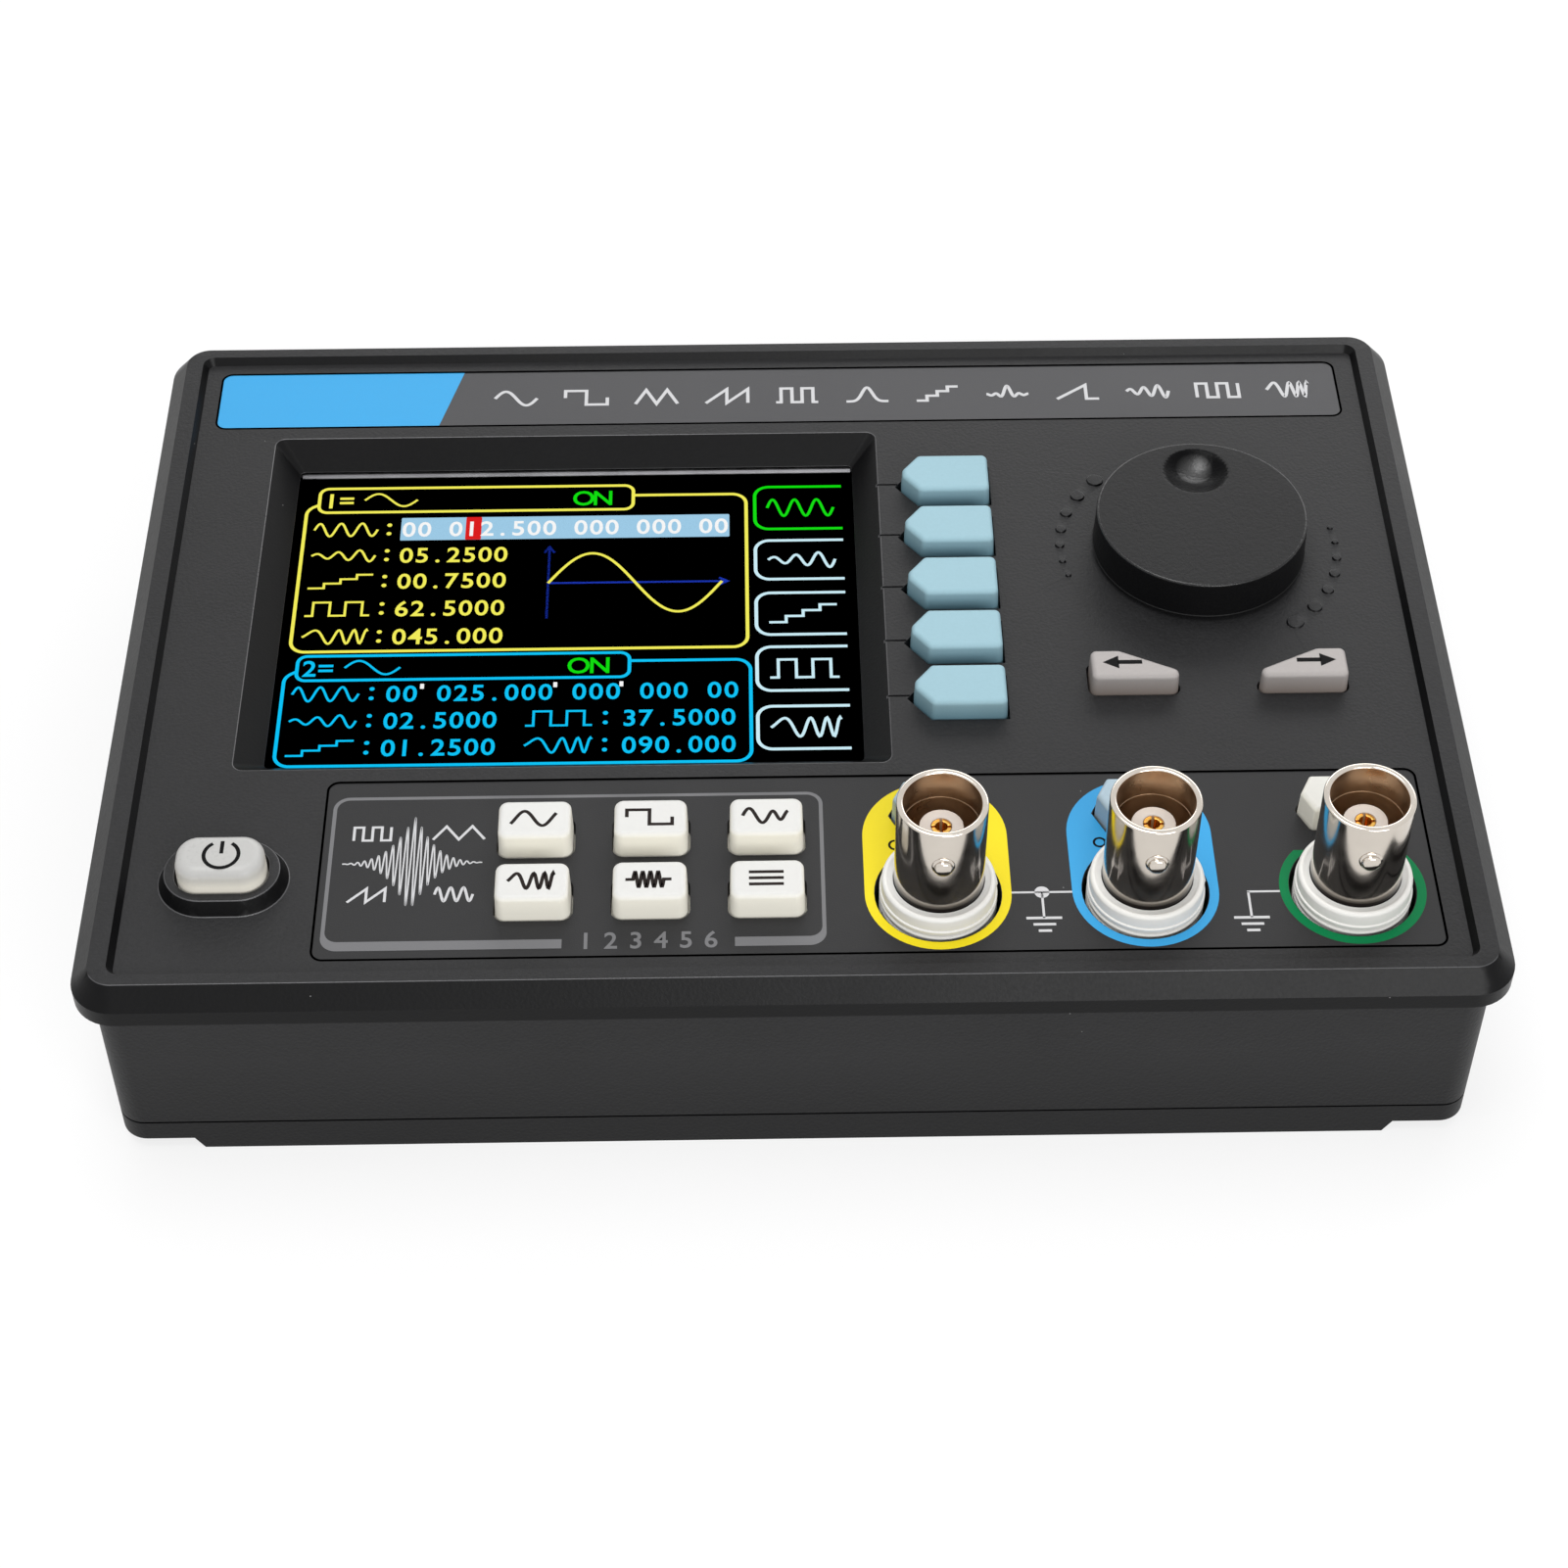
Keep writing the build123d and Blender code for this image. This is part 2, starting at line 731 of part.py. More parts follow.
# ---- Display module: steel frame over the panel, on foam pads ----
with BuildPart() as lcd_frame:
    with BuildSketch(Plane.XY.offset(lcd_bottom)):
        with Locations((lcd_x, lcd_y)):
            Rectangle(lcd_width, lcd_depth)
    extrude(amount=lcd_thickness)
    with BuildSketch(Plane.XY.offset(lcd_bottom)):
        with Locations((lcd_x, lcd_y)):
            Rectangle(lcd_width - 2 * lcd_sheet, lcd_depth - 2 * lcd_sheet)
    extrude(amount=lcd_thickness - lcd_sheet, mode=Mode.SUBTRACT)
    with BuildSketch(Plane.XY.offset(lcd_bottom)):
        with Locations((lcd_x, window_y)):
            Rectangle(lcd_view_width, lcd_view_depth)
    extrude(amount=lcd_thickness, mode=Mode.SUBTRACT)

lcd_frame.part.label = "lcd_frame"
export_step(lcd_frame.part, "parts/lcd_frame.step")

with BuildPart() as lcd_panel:
    with BuildSketch(Plane.XY.offset(lcd_bottom)):
        with Locations((lcd_x, lcd_y)):
            Rectangle(lcd_width - 2 * (lcd_sheet + seat_gap), lcd_depth - 2 * (lcd_sheet + seat_gap))
    extrude(amount=lcd_thickness - lcd_sheet - seat_gap)

lcd_panel.part.label = "lcd_panel"
export_step(lcd_panel.part, "parts/lcd_panel.step")

with BuildPart() as lcd_pads:
    with BuildSketch(Plane.XY.offset(board_top)):
        with Locations((lcd_x, lcd_y)):
            with GridLocations(lcd_width - pad_width, 0, 2, 1):
                Rectangle(pad_width, lcd_depth - 2 * pad_width)
    extrude(amount=lcd_bottom - board_top)

lcd_pads.part.label = "lcd_pads"
export_step(lcd_pads.part, "parts/lcd_pads.step")


# ---- Tact switches on the board, and the plungers that move with the keys ----
with BuildPart() as tact_switches:
    with BuildSketch(Plane.XY.offset(board_top)):
        with Locations(*switch_places):
            Rectangle(switch_size, switch_size)
    extrude(amount=switch_height)
    with BuildSketch(Plane.XY.offset(board_top + switch_height)):
        with Locations(*switch_places):
            Circle(plunger_radius + plunger_gap)
    extrude(amount=-(plunger_depth + 2 * switch_travel), mode=Mode.SUBTRACT)

tact_switches.part.label = "tact_switches"
export_step(tact_switches.part, "parts/tact_switches.step")


def plunger(x, y, label):
    with BuildPart() as pin:
        with BuildSketch(Plane.XY.offset(plunger_bottom)):
            with Locations((x, y)):
                Circle(plunger_radius)
        extrude(amount=plunger_top - plunger_bottom)
    pin.part.label = label
    export_step(pin.part, f"parts/{label}.step")


def key_cap(outline, rise, edge, label, stem_radius, stem_bottom, x, y):
    """Hollow cap with a flange under the panel and a stem down to what it presses."""
    with BuildPart() as cap:
        with BuildSketch(Plane.XY.offset(flange_bottom)):
            add(outline)
            offset(amount=key_flange)
        extrude(amount=key_flange_thickness)
        with BuildSketch(Plane.XY.offset(flange_bottom)):
            add(outline)
        extrude(amount=panel_face - flange_bottom)
        with BuildSketch(Plane.XY.offset(panel_face)):
            add(outline)
        with BuildSketch(Plane.XY.offset(panel_face + rise)):
            add(outline)
            offset(amount=-key_draft)
        loft()
        fillet(cap.faces().sort_by(Axis.Z)[-1].edges(), edge)
        with BuildSketch(Plane.XY.offset(flange_bottom)):
            add(outline)
            offset(amount=-key_wall, kind=Kind.INTERSECTION)
        extrude(amount=panel_face + rise - key_wall - flange_bottom, mode=Mode.SUBTRACT)
        with BuildSketch(Plane.XY.offset(stem_bottom)):
            with Locations((x, y)):
                Circle(stem_radius)
        extrude(amount=panel_face + rise - key_wall - stem_bottom)
    cap.part.label = label
    export_step(cap.part, f"parts/{label}.step")


for name, (outline, x, y, rise) in tact_keys.items():
    edge = power_edge if name == "power_button" else key_edge
    key_cap(outline, rise, edge, name, plunger_radius, plunger_top, x, y)
    plunger(x, y, f"{name}_plunger")

for i, y in enumerate(soft_rows):
    label = f"soft_key_{i + 1}"
    key_cap(soft_outline(y), soft_rise, key_edge, label, pill_radius, board_top + soft_travel, soft_x, y)


# ---- Silicone mat that guides the soft keys' stems ----
with BuildPart() as soft_key_mat:
    with BuildSketch(Plane.XY.offset(board_top)):
        with Locations((soft_x, (soft_rows[0] + soft_rows[-1]) / 2)):
            RectangleRounded(
                2 * (pill_radius + key_gap + mat_margin),
                soft_rows[0] - soft_rows[-1] + 2 * (pill_radius + key_gap + mat_margin),
                mat_margin,
            )
        with Locations(*[(soft_x, y) for y in soft_rows]):
            Circle(pill_radius + key_gap, mode=Mode.SUBTRACT)
    extrude(amount=mat_thickness + soft_travel)

soft_key_mat.part.label = "soft_key_mat"
export_step(soft_key_mat.part, "parts/soft_key_mat.step")


# ---- Rotary encoder with push, and its knob ----
with BuildPart() as encoder_body:
    with BuildSketch(Plane.XY.offset(board_top)):
        with Locations((knob_x, knob_y)):
            Rectangle(encoder_width, encoder_depth)
    extrude(amount=encoder_height)
    with BuildSketch(Plane.XY.offset(board_top + encoder_height)):
        with Locations((knob_x, knob_y)):
            Circle(bushing_radius)
    extrude(amount=bushing_top - board_top - encoder_height)
    with BuildSketch(Plane.XY.offset(board_top + encoder_floor)):
        with Locations((knob_x, knob_y)):
            Circle(shaft_radius + shaft_gap)
    extrude(amount=bushing_top - board_top - encoder_floor, mode=Mode.SUBTRACT)

encoder_body.part.label = "encoder_body"
export_step(encoder_body.part, "parts/encoder_body.step")

with BuildPart() as encoder_plunger:
    with BuildSketch(Plane.XY.offset(shaft_bottom - push_thickness)):
        with Locations((knob_x, knob_y)):
            Circle(push_radius)
    extrude(amount=push_thickness)

encoder_plunger.part.label = "encoder_plunger"
export_step(encoder_plunger.part, "parts/encoder_plunger.step")


def shaft_section(gap):
    with BuildSketch() as section:
        with Locations((knob_x, knob_y)):
            Circle(shaft_radius + gap)
        with Locations((knob_x, knob_y + 2 * shaft_radius + gap - shaft_flat)):
            Rectangle(4 * shaft_radius, 2 * shaft_radius, mode=Mode.SUBTRACT)
    return section.sketch


with BuildPart() as encoder_shaft:
    with BuildSketch(Plane.XY.offset(shaft_bottom)):
        with Locations((knob_x, knob_y)):
            Circle(shaft_radius)
    extrude(amount=bushing_top - shaft_bottom)
    with BuildSketch(Plane.XY.offset(bushing_top)):
        add(shaft_section(0.0))
    extrude(amount=shaft_top - bushing_top)

encoder_shaft.part.label = "encoder_shaft"
export_step(encoder_shaft.part, "parts/encoder_shaft.step")

knob_bottom = panel_face + knob_lift
knob_top = panel_face + knob_rise
knob_profile = [
    (0.0, knob_bottom),
    (knob_radius, knob_bottom),
    (knob_top_radius, knob_top - knob_edge),
    (knob_top_radius - knob_edge, knob_top),
    (0.0, knob_top),
]
with BuildPart() as knob:
    with BuildSketch(Plane(origin=(knob_x, knob_y, 0), x_dir=(1, 0, 0), z_dir=(0, -1, 0))):
        with BuildLine():
            Polyline(*knob_profile, close=True)
        make_face()
    revolve(axis=Axis((knob_x, knob_y, 0), (0, 0, 1)))
    with BuildSketch(Plane.XY.offset(knob_bottom)):
        with Locations((knob_x, knob_y)):
            Circle(knob_radius - knob_wall)
            Circle(knob_hub_radius, mode=Mode.SUBTRACT)
    extrude(amount=knob_top - knob_bottom - knob_roof - dimple_depth, mode=Mode.SUBTRACT)
    with BuildSketch(Plane.XY.offset(knob_bottom)):
        with Locations((knob_x, knob_y)):
            Circle(knob_recess_radius)
    extrude(amount=bushing_top + push_travel + knob_recess_gap - knob_bottom, mode=Mode.SUBTRACT)
    with BuildSketch(Plane.XY.offset(bushing_top)):
        add(shaft_section(seat_gap))
    extrude(amount=shaft_top - bushing_top, mode=Mode.SUBTRACT)
    dimple_sphere = (dimple_radius**2 + dimple_depth**2) / (2 * dimple_depth)
    with Locations((knob_x, knob_y + dimple_offset, knob_top - dimple_depth + dimple_sphere)):
        Sphere(dimple_sphere, mode=Mode.SUBTRACT)

knob.part.label = "knob"
export_step(knob.part, "parts/knob.step")


# ---- Coaxial bayonet sockets: plastic base, barrel, dielectric and contact ----
bnc_top = panel_face + bnc_rise
dielectric_top = bnc_top - bnc_mouth
cup_floor = bnc_top - bnc_cup
tail_bottom = panel_face - barrel_tail
base_top = panel_face + base_rise


def side_plane(x):
    """Upright plane through a socket's axis: local x is the radius, local y the height."""
    return Plane(origin=(x, bnc_y, 0), x_dir=(1, 0, 0), z_dir=(0, -1, 0))


def turned(x, points, label):
    with BuildPart() as piece:
        with BuildSketch(side_plane(x)):
            with BuildLine():
                Polyline(*points, close=True)
            make_face()
        revolve(axis=Axis((x, bnc_y, 0), (0, 0, 1)))
    piece.part.label = label
    return piece.part


def bnc_barrel(x, label):
    profile = [
        (dielectric_radius + seat_gap, tail_bottom),
        (bnc_radius, tail_bottom),
        (bnc_radius, bnc_top - bnc_edge),
        (bnc_radius - bnc_edge, bnc_top),
        (bnc_bore, bnc_top),
        (bnc_bore, dielectric_top),
        (bnc_inner_bore, dielectric_top),
        (bnc_inner_bore, cup_floor),
        (dielectric_radius + seat_gap, cup_floor),
    ]
    with BuildPart() as piece:
        with BuildSketch(side_plane(x)):
            with BuildLine():
                Polyline(*profile, close=True)
            make_face()
        revolve(axis=Axis((x, bnc_y, 0), (0, 0, 1)))
        wall_middle = (bnc_radius + bnc_bore) / 2
        for side in (-1, 1):
            lug_place = (x, bnc_y + side * wall_middle, bnc_top - lug_drop)
            lug_seat = Plane(origin=lug_place, x_dir=(1, 0, 0), z_dir=(0, side, 0))
            with BuildSketch(lug_seat):
                Circle(lug_radius)
            extrude(amount=lug_reach - wall_middle)
    piece.part.label = label
    export_step(piece.part, f"parts/{label}.step")


def bnc_base(x, label):
    hole = bnc_radius + seat_gap
    profile = [
        (hole, tail_bottom),
        (hole, base_top - base_groove),
        (base_groove_radius, base_top - base_groove),
        (base_groove_radius, base_top),
        (base_radius - base_edge, base_top),
        (base_radius, base_top - base_edge),
        (base_radius, board_top),
        (dielectric_radius + seat_gap, board_top),
        (dielectric_radius + seat_gap, tail_bottom),
    ]
    export_step(turned(x, profile, label), f"parts/{label}.step")


def bnc_dielectric(x, label):
    profile = [
        (contact_radius + seat_gap, board_top),
        (dielectric_radius, board_top),
        (dielectric_radius, dielectric_top),
        (contact_radius + seat_gap, dielectric_top),
    ]
    export_step(turned(x, profile, label), f"parts/{label}.step")


def bnc_contact(x, label):
    top = dielectric_top - contact_sink
    profile = [
        (0.0, board_bottom - pin_tail),
        (pin_radius, board_bottom - pin_tail),
        (pin_radius, board_top),
        (contact_radius, board_top),
        (contact_radius, top),
        (contact_bore, top),
        (contact_bore, top - contact_depth),
        (0.0, top - contact_depth),
    ]
    with BuildPart() as piece:
        with BuildSketch(side_plane(x)):
            with BuildLine():
                Polyline(*profile, close=True)
            make_face()
        revolve(axis=Axis((x, bnc_y, 0), (0, 0, 1)))
        with BuildSketch(Plane.XY.offset(top)):
            with Locations((x, bnc_y)):
                Rectangle(2 * contact_radius, contact_slot)
                Rectangle(contact_slot, 2 * contact_radius)
        extrude(amount=-contact_depth / 2, mode=Mode.SUBTRACT)
    piece.part.label = label
    export_step(piece.part, f"parts/{label}.step")


for i, x in enumerate(bnc_places):
    bnc_barrel(x, f"bnc_{i + 1}_barrel")
    bnc_base(x, f"bnc_{i + 1}_base")
    bnc_dielectric(x, f"bnc_{i + 1}_dielectric")
    bnc_contact(x, f"bnc_{i + 1}_contact")


# ---- Label films ----
def label_film(recess, label):
    with BuildPart() as film:
        with BuildSketch(Plane.XY.offset(panel_face - label_sink)):
            add(label_outline(recess, label_gap))
        extrude(amount=label_thickness)
        with BuildSketch(Plane.XY.offset(panel_face - label_sink)):
            for outline, _, _, _ in tact_keys.values():
                add(outline)
            offset(amount=key_gap)
            with Locations(*[(x, bnc_y) for x in bnc_places]):
                Circle(base_radius + bnc_hole_gap)
        extrude(amount=label_thickness, mode=Mode.SUBTRACT)
    film.part.label = label
    export_step(film.part, f"parts/{label}.step")


label_film(header_recess, "header_label")
label_film(lower_recess, "lower_label")


# ---- Power and data sockets on the back wall ----
socket_face = body_depth / 2 - socket_sink
socket_plane = Plane(origin=(0, socket_face, 0), x_dir=(1, 0, 0), z_dir=(0, -1, 0))

with BuildPart() as dc_jack:
    with BuildSketch(socket_plane):
        add(socket_outline(jack_x, jack_width, jack_height, 0.0))
    extrude(amount=jack_depth)
    with BuildSketch(socket_plane):
        with Locations((jack_x, board_bottom - jack_height / 2)):
            Circle(jack_bore)
    extrude(amount=jack_bore_depth, mode=Mode.SUBTRACT)
    with BuildSketch(socket_plane.offset(jack_bore_depth - jack_pin_length)):
        with Locations((jack_x, board_bottom - jack_height / 2)):
            Circle(jack_pin)
    extrude(amount=jack_pin_length)

dc_jack.part.label = "dc_jack"
export_step(dc_jack.part, "parts/dc_jack.step")

with BuildPart() as usb_socket:
    with BuildSketch(socket_plane):
        add(socket_outline(usb_x, usb_width, jack_height, 0.0))
    extrude(amount=usb_depth)
    with BuildSketch(socket_plane):
        with Locations((usb_x, board_bottom - jack_height / 2)):
            Rectangle(usb_mouth_width, usb_mouth_height)
            Rectangle(usb_tongue_width, usb_tongue_height, mode=Mode.SUBTRACT)
    extrude(amount=usb_cup, mode=Mode.SUBTRACT)

usb_socket.part.label = "usb_socket"
export_step(usb_socket.part, "parts/usb_socket.step")
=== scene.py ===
import json
from math import asin, cos, degrees, exp, pi, radians, sin, sqrt, tau

import bmesh
import bpy
from mathutils import Matrix, Vector

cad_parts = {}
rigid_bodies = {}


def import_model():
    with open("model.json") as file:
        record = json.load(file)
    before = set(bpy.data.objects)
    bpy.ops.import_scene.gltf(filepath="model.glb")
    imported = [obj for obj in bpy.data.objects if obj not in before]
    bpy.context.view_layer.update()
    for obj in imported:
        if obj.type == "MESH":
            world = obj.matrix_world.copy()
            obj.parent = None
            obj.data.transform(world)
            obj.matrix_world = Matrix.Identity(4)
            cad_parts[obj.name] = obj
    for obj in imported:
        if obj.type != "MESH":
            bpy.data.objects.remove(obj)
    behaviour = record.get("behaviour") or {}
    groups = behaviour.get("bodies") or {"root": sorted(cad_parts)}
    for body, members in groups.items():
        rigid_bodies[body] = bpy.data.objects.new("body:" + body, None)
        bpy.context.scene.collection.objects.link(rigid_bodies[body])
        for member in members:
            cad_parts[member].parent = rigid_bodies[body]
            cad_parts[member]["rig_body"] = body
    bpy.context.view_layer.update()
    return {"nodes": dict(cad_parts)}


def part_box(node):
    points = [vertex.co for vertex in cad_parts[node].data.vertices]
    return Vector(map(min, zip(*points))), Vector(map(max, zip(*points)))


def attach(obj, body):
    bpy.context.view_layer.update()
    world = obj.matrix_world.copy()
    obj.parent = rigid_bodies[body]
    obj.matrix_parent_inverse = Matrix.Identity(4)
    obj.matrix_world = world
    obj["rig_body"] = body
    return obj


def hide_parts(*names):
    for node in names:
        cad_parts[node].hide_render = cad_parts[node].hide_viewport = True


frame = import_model()
scene = bpy.context.scene
nodes = frame["nodes"]
mm = 0.001


def corners(node):
    return [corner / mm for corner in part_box(node)]


def highest(node):
    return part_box(node)[1].z / mm


def middle(node):
    low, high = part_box(node)
    return Vector((low.x + high.x, low.y + high.y)) / (2 * mm)


def newObject(name, data):
    made = bpy.data.objects.new(name, data)
    scene.collection.objects.link(made)
    return made


filmTop = highest("lower_label")
glassTop = highest("lcd_panel")
socketSpots = [middle(f"bnc_{i}_base") for i in (1, 2, 3)]
print("frame loaded")


# Node helpers.
def link(tree, source, target):
    tree.links.new(source, target)


def addNode(tree, kind, inputs=(), **settings):
    # settings are the node's own; each input is a plain value or the socket that feeds it.
    node = tree.nodes.new(kind)
    for title, value in settings.items():
        setattr(node, title, value)
    for title, value in dict(inputs).items():
        if isinstance(value, bpy.types.NodeSocket):
            link(tree, value, node.inputs[title])
        else:
            node.inputs[title].default_value = value
    return node


def maths(tree, operation, *terms):
    return addNode(tree, "ShaderNodeMath", dict(enumerate(terms)), operation=operation).outputs[0]


def spread(tree, value, low, high, start=0.3, end=0.7):
    # low where value is start or less, high where it is end or more.
    inputs = {"Value": value, "From Min": start, "From Max": end, "To Min": low, "To Max": high}
    return addNode(tree, "ShaderNodeMapRange", inputs).outputs[0]


def noise(tree, spot, scale, detail=2.0):
    inputs = {"Vector": spot, "Scale": scale, "Detail": detail}
    return addNode(tree, "ShaderNodeTexNoise", inputs).outputs["Fac"]


def objectSpot(tree):
    return addNode(tree, "ShaderNodeTexCoord").outputs["Object"]


def newTree(name, kind, inputs, outputs):
    # A node group with one named input for each value, and its start and end sockets.
    tree = bpy.data.node_groups.new(name, kind)
    for title, value in inputs.items():
        sort = {int: "Int", float: "Float"}.get(type(value), "Material")
        socket = tree.interface.new_socket(title, in_out="INPUT", socket_type="NodeSocket" + sort)
        socket.default_value = value
    for title in outputs:
        sort = "Geometry" if title == "Geometry" else "Float"
        tree.interface.new_socket(title, in_out="OUTPUT", socket_type="NodeSocket" + sort)
    return tree, tree.nodes.new("NodeGroupInput").outputs, tree.nodes.new("NodeGroupOutput").inputs


def putOut(tree, end, **values):
    for title, value in values.items():
        link(tree, value, end[title])


# Camera, soft boxes, sky and floor. Places and sizes of lights and floor are in metres.
cameraSet = {"place": (-4.006, -264.214, 289.659), "turn": (42.592, 0.111, -0.913), "lens": 74.204,
             "sensor": 36.0, "clip": 0.01}
studio = {"sky": 0.5, "floorGlow": 0.75, "floorTone": 0.88, "floorHalf": 6}
softBoxes = {  # place, size, power
    "keyBox": ((-0.12, 0.02, 0.90), (0.7, 0.4), 4.6),
    "backBox": ((0.20, 0.80, 0.50), (0.9, 0.3), 3.0),
    "fillBox": ((0.30, -0.80, 0.50), (0.6, 0.4), 4.8),
}

camera = newObject("camera", bpy.data.cameras.new("camera"))
camera.location = Vector(cameraSet["place"]) * mm
camera.rotation_euler = [radians(a) for a in cameraSet["turn"]]
camera.data.lens = cameraSet["lens"]
camera.data.sensor_width = cameraSet["sensor"]
camera.data.clip_start = cameraSet["clip"]
scene.camera = camera
scene.view_settings.view_transform = "Standard"

for name, (spot, size, power) in softBoxes.items():
    lamp = bpy.data.lights.new(name, "AREA")
    lamp.shape = "RECTANGLE"
    lamp.size, lamp.size_y = size
    lamp.energy = power
    softBox = newObject(name, lamp)
    softBox.location = spot
    softBox.rotation_euler = (-Vector(spot)).to_track_quat("-Z", "Y").to_euler()


def plainRays(tree):
    # 1 for rays that show the background: straight from the lens, in metal or through glass.
    path = addNode(tree, "ShaderNodeLightPath").outputs
    seen = maths(tree, "MAXIMUM", path["Is Camera Ray"], path["Is Glossy Ray"])
    return maths(tree, "MAXIMUM", seen, path["Is Transmission Ray"])


def emptyTree(owner):
    owner.use_nodes = True
    owner.node_tree.nodes.clear()
    return owner.node_tree


scene.world = bpy.data.worlds.new("studio")
skyTree = emptyTree(scene.world)
skyLevel = spread(skyTree, plainRays(skyTree), studio["sky"], 1.0, 0.0, 1.0)
sky = addNode(skyTree, "ShaderNodeBackground", {"Color": (1, 1, 1, 1), "Strength": skyLevel})
addNode(skyTree, "ShaderNodeOutputWorld", {"Surface": sky.outputs[0]})

reach = studio["floorHalf"]
floorMesh = bpy.data.meshes.new("floor")
floorCorners = [(-reach, -reach, 0), (reach, -reach, 0), (reach, reach, 0), (-reach, reach, 0)]
floorMesh.from_pydata(floorCorners, [], [(0, 1, 2, 3)])
floor = newObject("floor", floorMesh)
floorPaint = bpy.data.materials.new("floorPaint")
floorTree = emptyTree(floorPaint)
chalk = addNode(floorTree, "ShaderNodeBsdfDiffuse", {"Color": (*[studio["floorTone"]] * 3, 1)})
glow = addNode(floorTree, "ShaderNodeEmission")
glowShare = maths(floorTree, "MULTIPLY", plainRays(floorTree), studio["floorGlow"])
blend = addNode(floorTree, "ShaderNodeMixShader", {0: glowShare, 1: chalk.outputs[0], 2: glow.outputs[0]})
addNode(floorTree, "ShaderNodeOutputMaterial", {"Surface": blend.outputs[0]})
floorMesh.materials.append(floorPaint)
print("studio set")


# Shader groups shared by the finishes.
def mouldGrainGroup():
    # Spark-eroded mould texture, soft sheen patches and a few settled specks of dust.
    inputs = {"Grain": 2600.0, "Patch": 60.0, "Dust Spacing": 260.0, "Dust Size": 0.019, "Dust Patch": 23.0,
              "Dust Limit": 0.52}
    tree, start, end = newTree("mouldGrain", "ShaderNodeTree", inputs, ("Height", "Sheen", "Dust"))
    spot = objectSpot(tree)
    fine = noise(tree, spot, start["Grain"], 3.0)
    patch = noise(tree, spot, start["Patch"], 4.0)
    sheen = maths(tree, "ADD", maths(tree, "MULTIPLY", patch, 0.5), maths(tree, "MULTIPLY", fine, 0.5))
    speck = addNode(tree, "ShaderNodeTexVoronoi", {"Vector": spot, "Scale": start["Dust Spacing"]})
    small = maths(tree, "LESS_THAN", speck.outputs["Distance"], start["Dust Size"])
    few = maths(tree, "GREATER_THAN", noise(tree, spot, start["Dust Patch"]), start["Dust Limit"])
    putOut(tree, end, Height=fine, Sheen=sheen, Dust=maths(tree, "MULTIPLY", small, few))
    return tree


def brushGroup():
    # Turning marks and faint smears on plated metal.
    inputs = {"Marks": 9000.0, "Smear": 400.0}
    tree, start, end = newTree("turnedMetal", "ShaderNodeTree", inputs, ("Height", "Sheen"))
    spot = objectSpot(tree)
    upward = addNode(tree, "ShaderNodeSeparateXYZ", {0: spot}).outputs["Z"]
    marks = addNode(tree, "ShaderNodeCombineXYZ", {"Z": maths(tree, "MULTIPLY", upward, start["Marks"])})
    smear = noise(tree, spot, start["Smear"], 4.0)
    putOut(tree, end, Height=noise(tree, marks.outputs[0], 1.0, 1.0), Sheen=smear)
    return tree


grainGroup = mouldGrainGroup()
metalGroup = brushGroup()
finishSet = {"speck": 0.16, "relief": 0.00005}  # how much lighter a speck is; depth of the grain in metres


def mixColours(tree, share, dark, light):
    dark, light = ((*c, 1) if isinstance(c, tuple) else c for c in (dark, light))
    return addNode(tree, "ShaderNodeMix", {"Factor": share, 6: dark, 7: light}, data_type="RGBA").outputs[2]


def finish(name, colour, roughness, texture=grainGroup, depth=0.2, tone=0.06, swing=0.05, grain=None,
           gloss=0.22, paintedFade=None, **shader):
    # colour varies by the share tone, roughness by swing; depth is the strength of the texture's relief.
    # The fade is (colour, low, high): a second colour that gives way to the first between two heights; it
    # carries painted light and shade, lower parts painted lighter than the tops on translucent keys and
    # darker elsewhere.
    material = bpy.data.materials.new(name)
    material.use_nodes = True
    tree = material.node_tree
    group = addNode(tree, "ShaderNodeGroup", node_tree=texture)
    for title, value in (grain or {}).items():
        group.inputs[title].default_value = value
    sheen = group.outputs["Sheen"]
    dark = tuple(c * (1 - tone) for c in colour)
    light = tuple(min(1.0, c * (1 + tone)) for c in colour)
    paint = mixColours(tree, spread(tree, sheen, 0.0, 1.0), dark, light)
    if "Dust" in group.outputs:
        speckle = tuple(min(1.0, c + finishSet["speck"]) for c in colour)
        paint = mixColours(tree, group.outputs["Dust"], paint, speckle)
    if paintedFade:
        upward = addNode(tree, "ShaderNodeSeparateXYZ", {0: objectSpot(tree)}).outputs["Z"]
        paint = mixColours(tree, spread(tree, upward, 0.0, 1.0, paintedFade[1] * mm, paintedFade[2] * mm), paintedFade[0], paint)
    bumpInputs = {"Strength": depth, "Distance": finishSet["relief"], "Height": group.outputs["Height"]}
    shade = tree.nodes["Principled BSDF"]
    link(tree, paint, shade.inputs["Base Color"])
    link(tree, spread(tree, sheen, roughness - swing, roughness + swing), shade.inputs["Roughness"])
    link(tree, addNode(tree, "ShaderNodeBump", bumpInputs).outputs[0], shade.inputs["Normal"])
    shade.inputs["Specular IOR Level"].default_value = gloss
    for title, value in shader.items():
        shade.inputs[title].default_value = value
    return material


def srgb(*channels):
    # Linear values of an 8-bit screen colour.
    return tuple((c / 255 / 12.92) if c <= 10 else ((c / 255 + 0.055) / 1.055) ** 2.4 for c in channels)


def paintedFadeUp(node, colour, low, high):
    # A fade of painted light and shade between two distances above the node's top.
    return colour, highest(node) + low, highest(node) + high


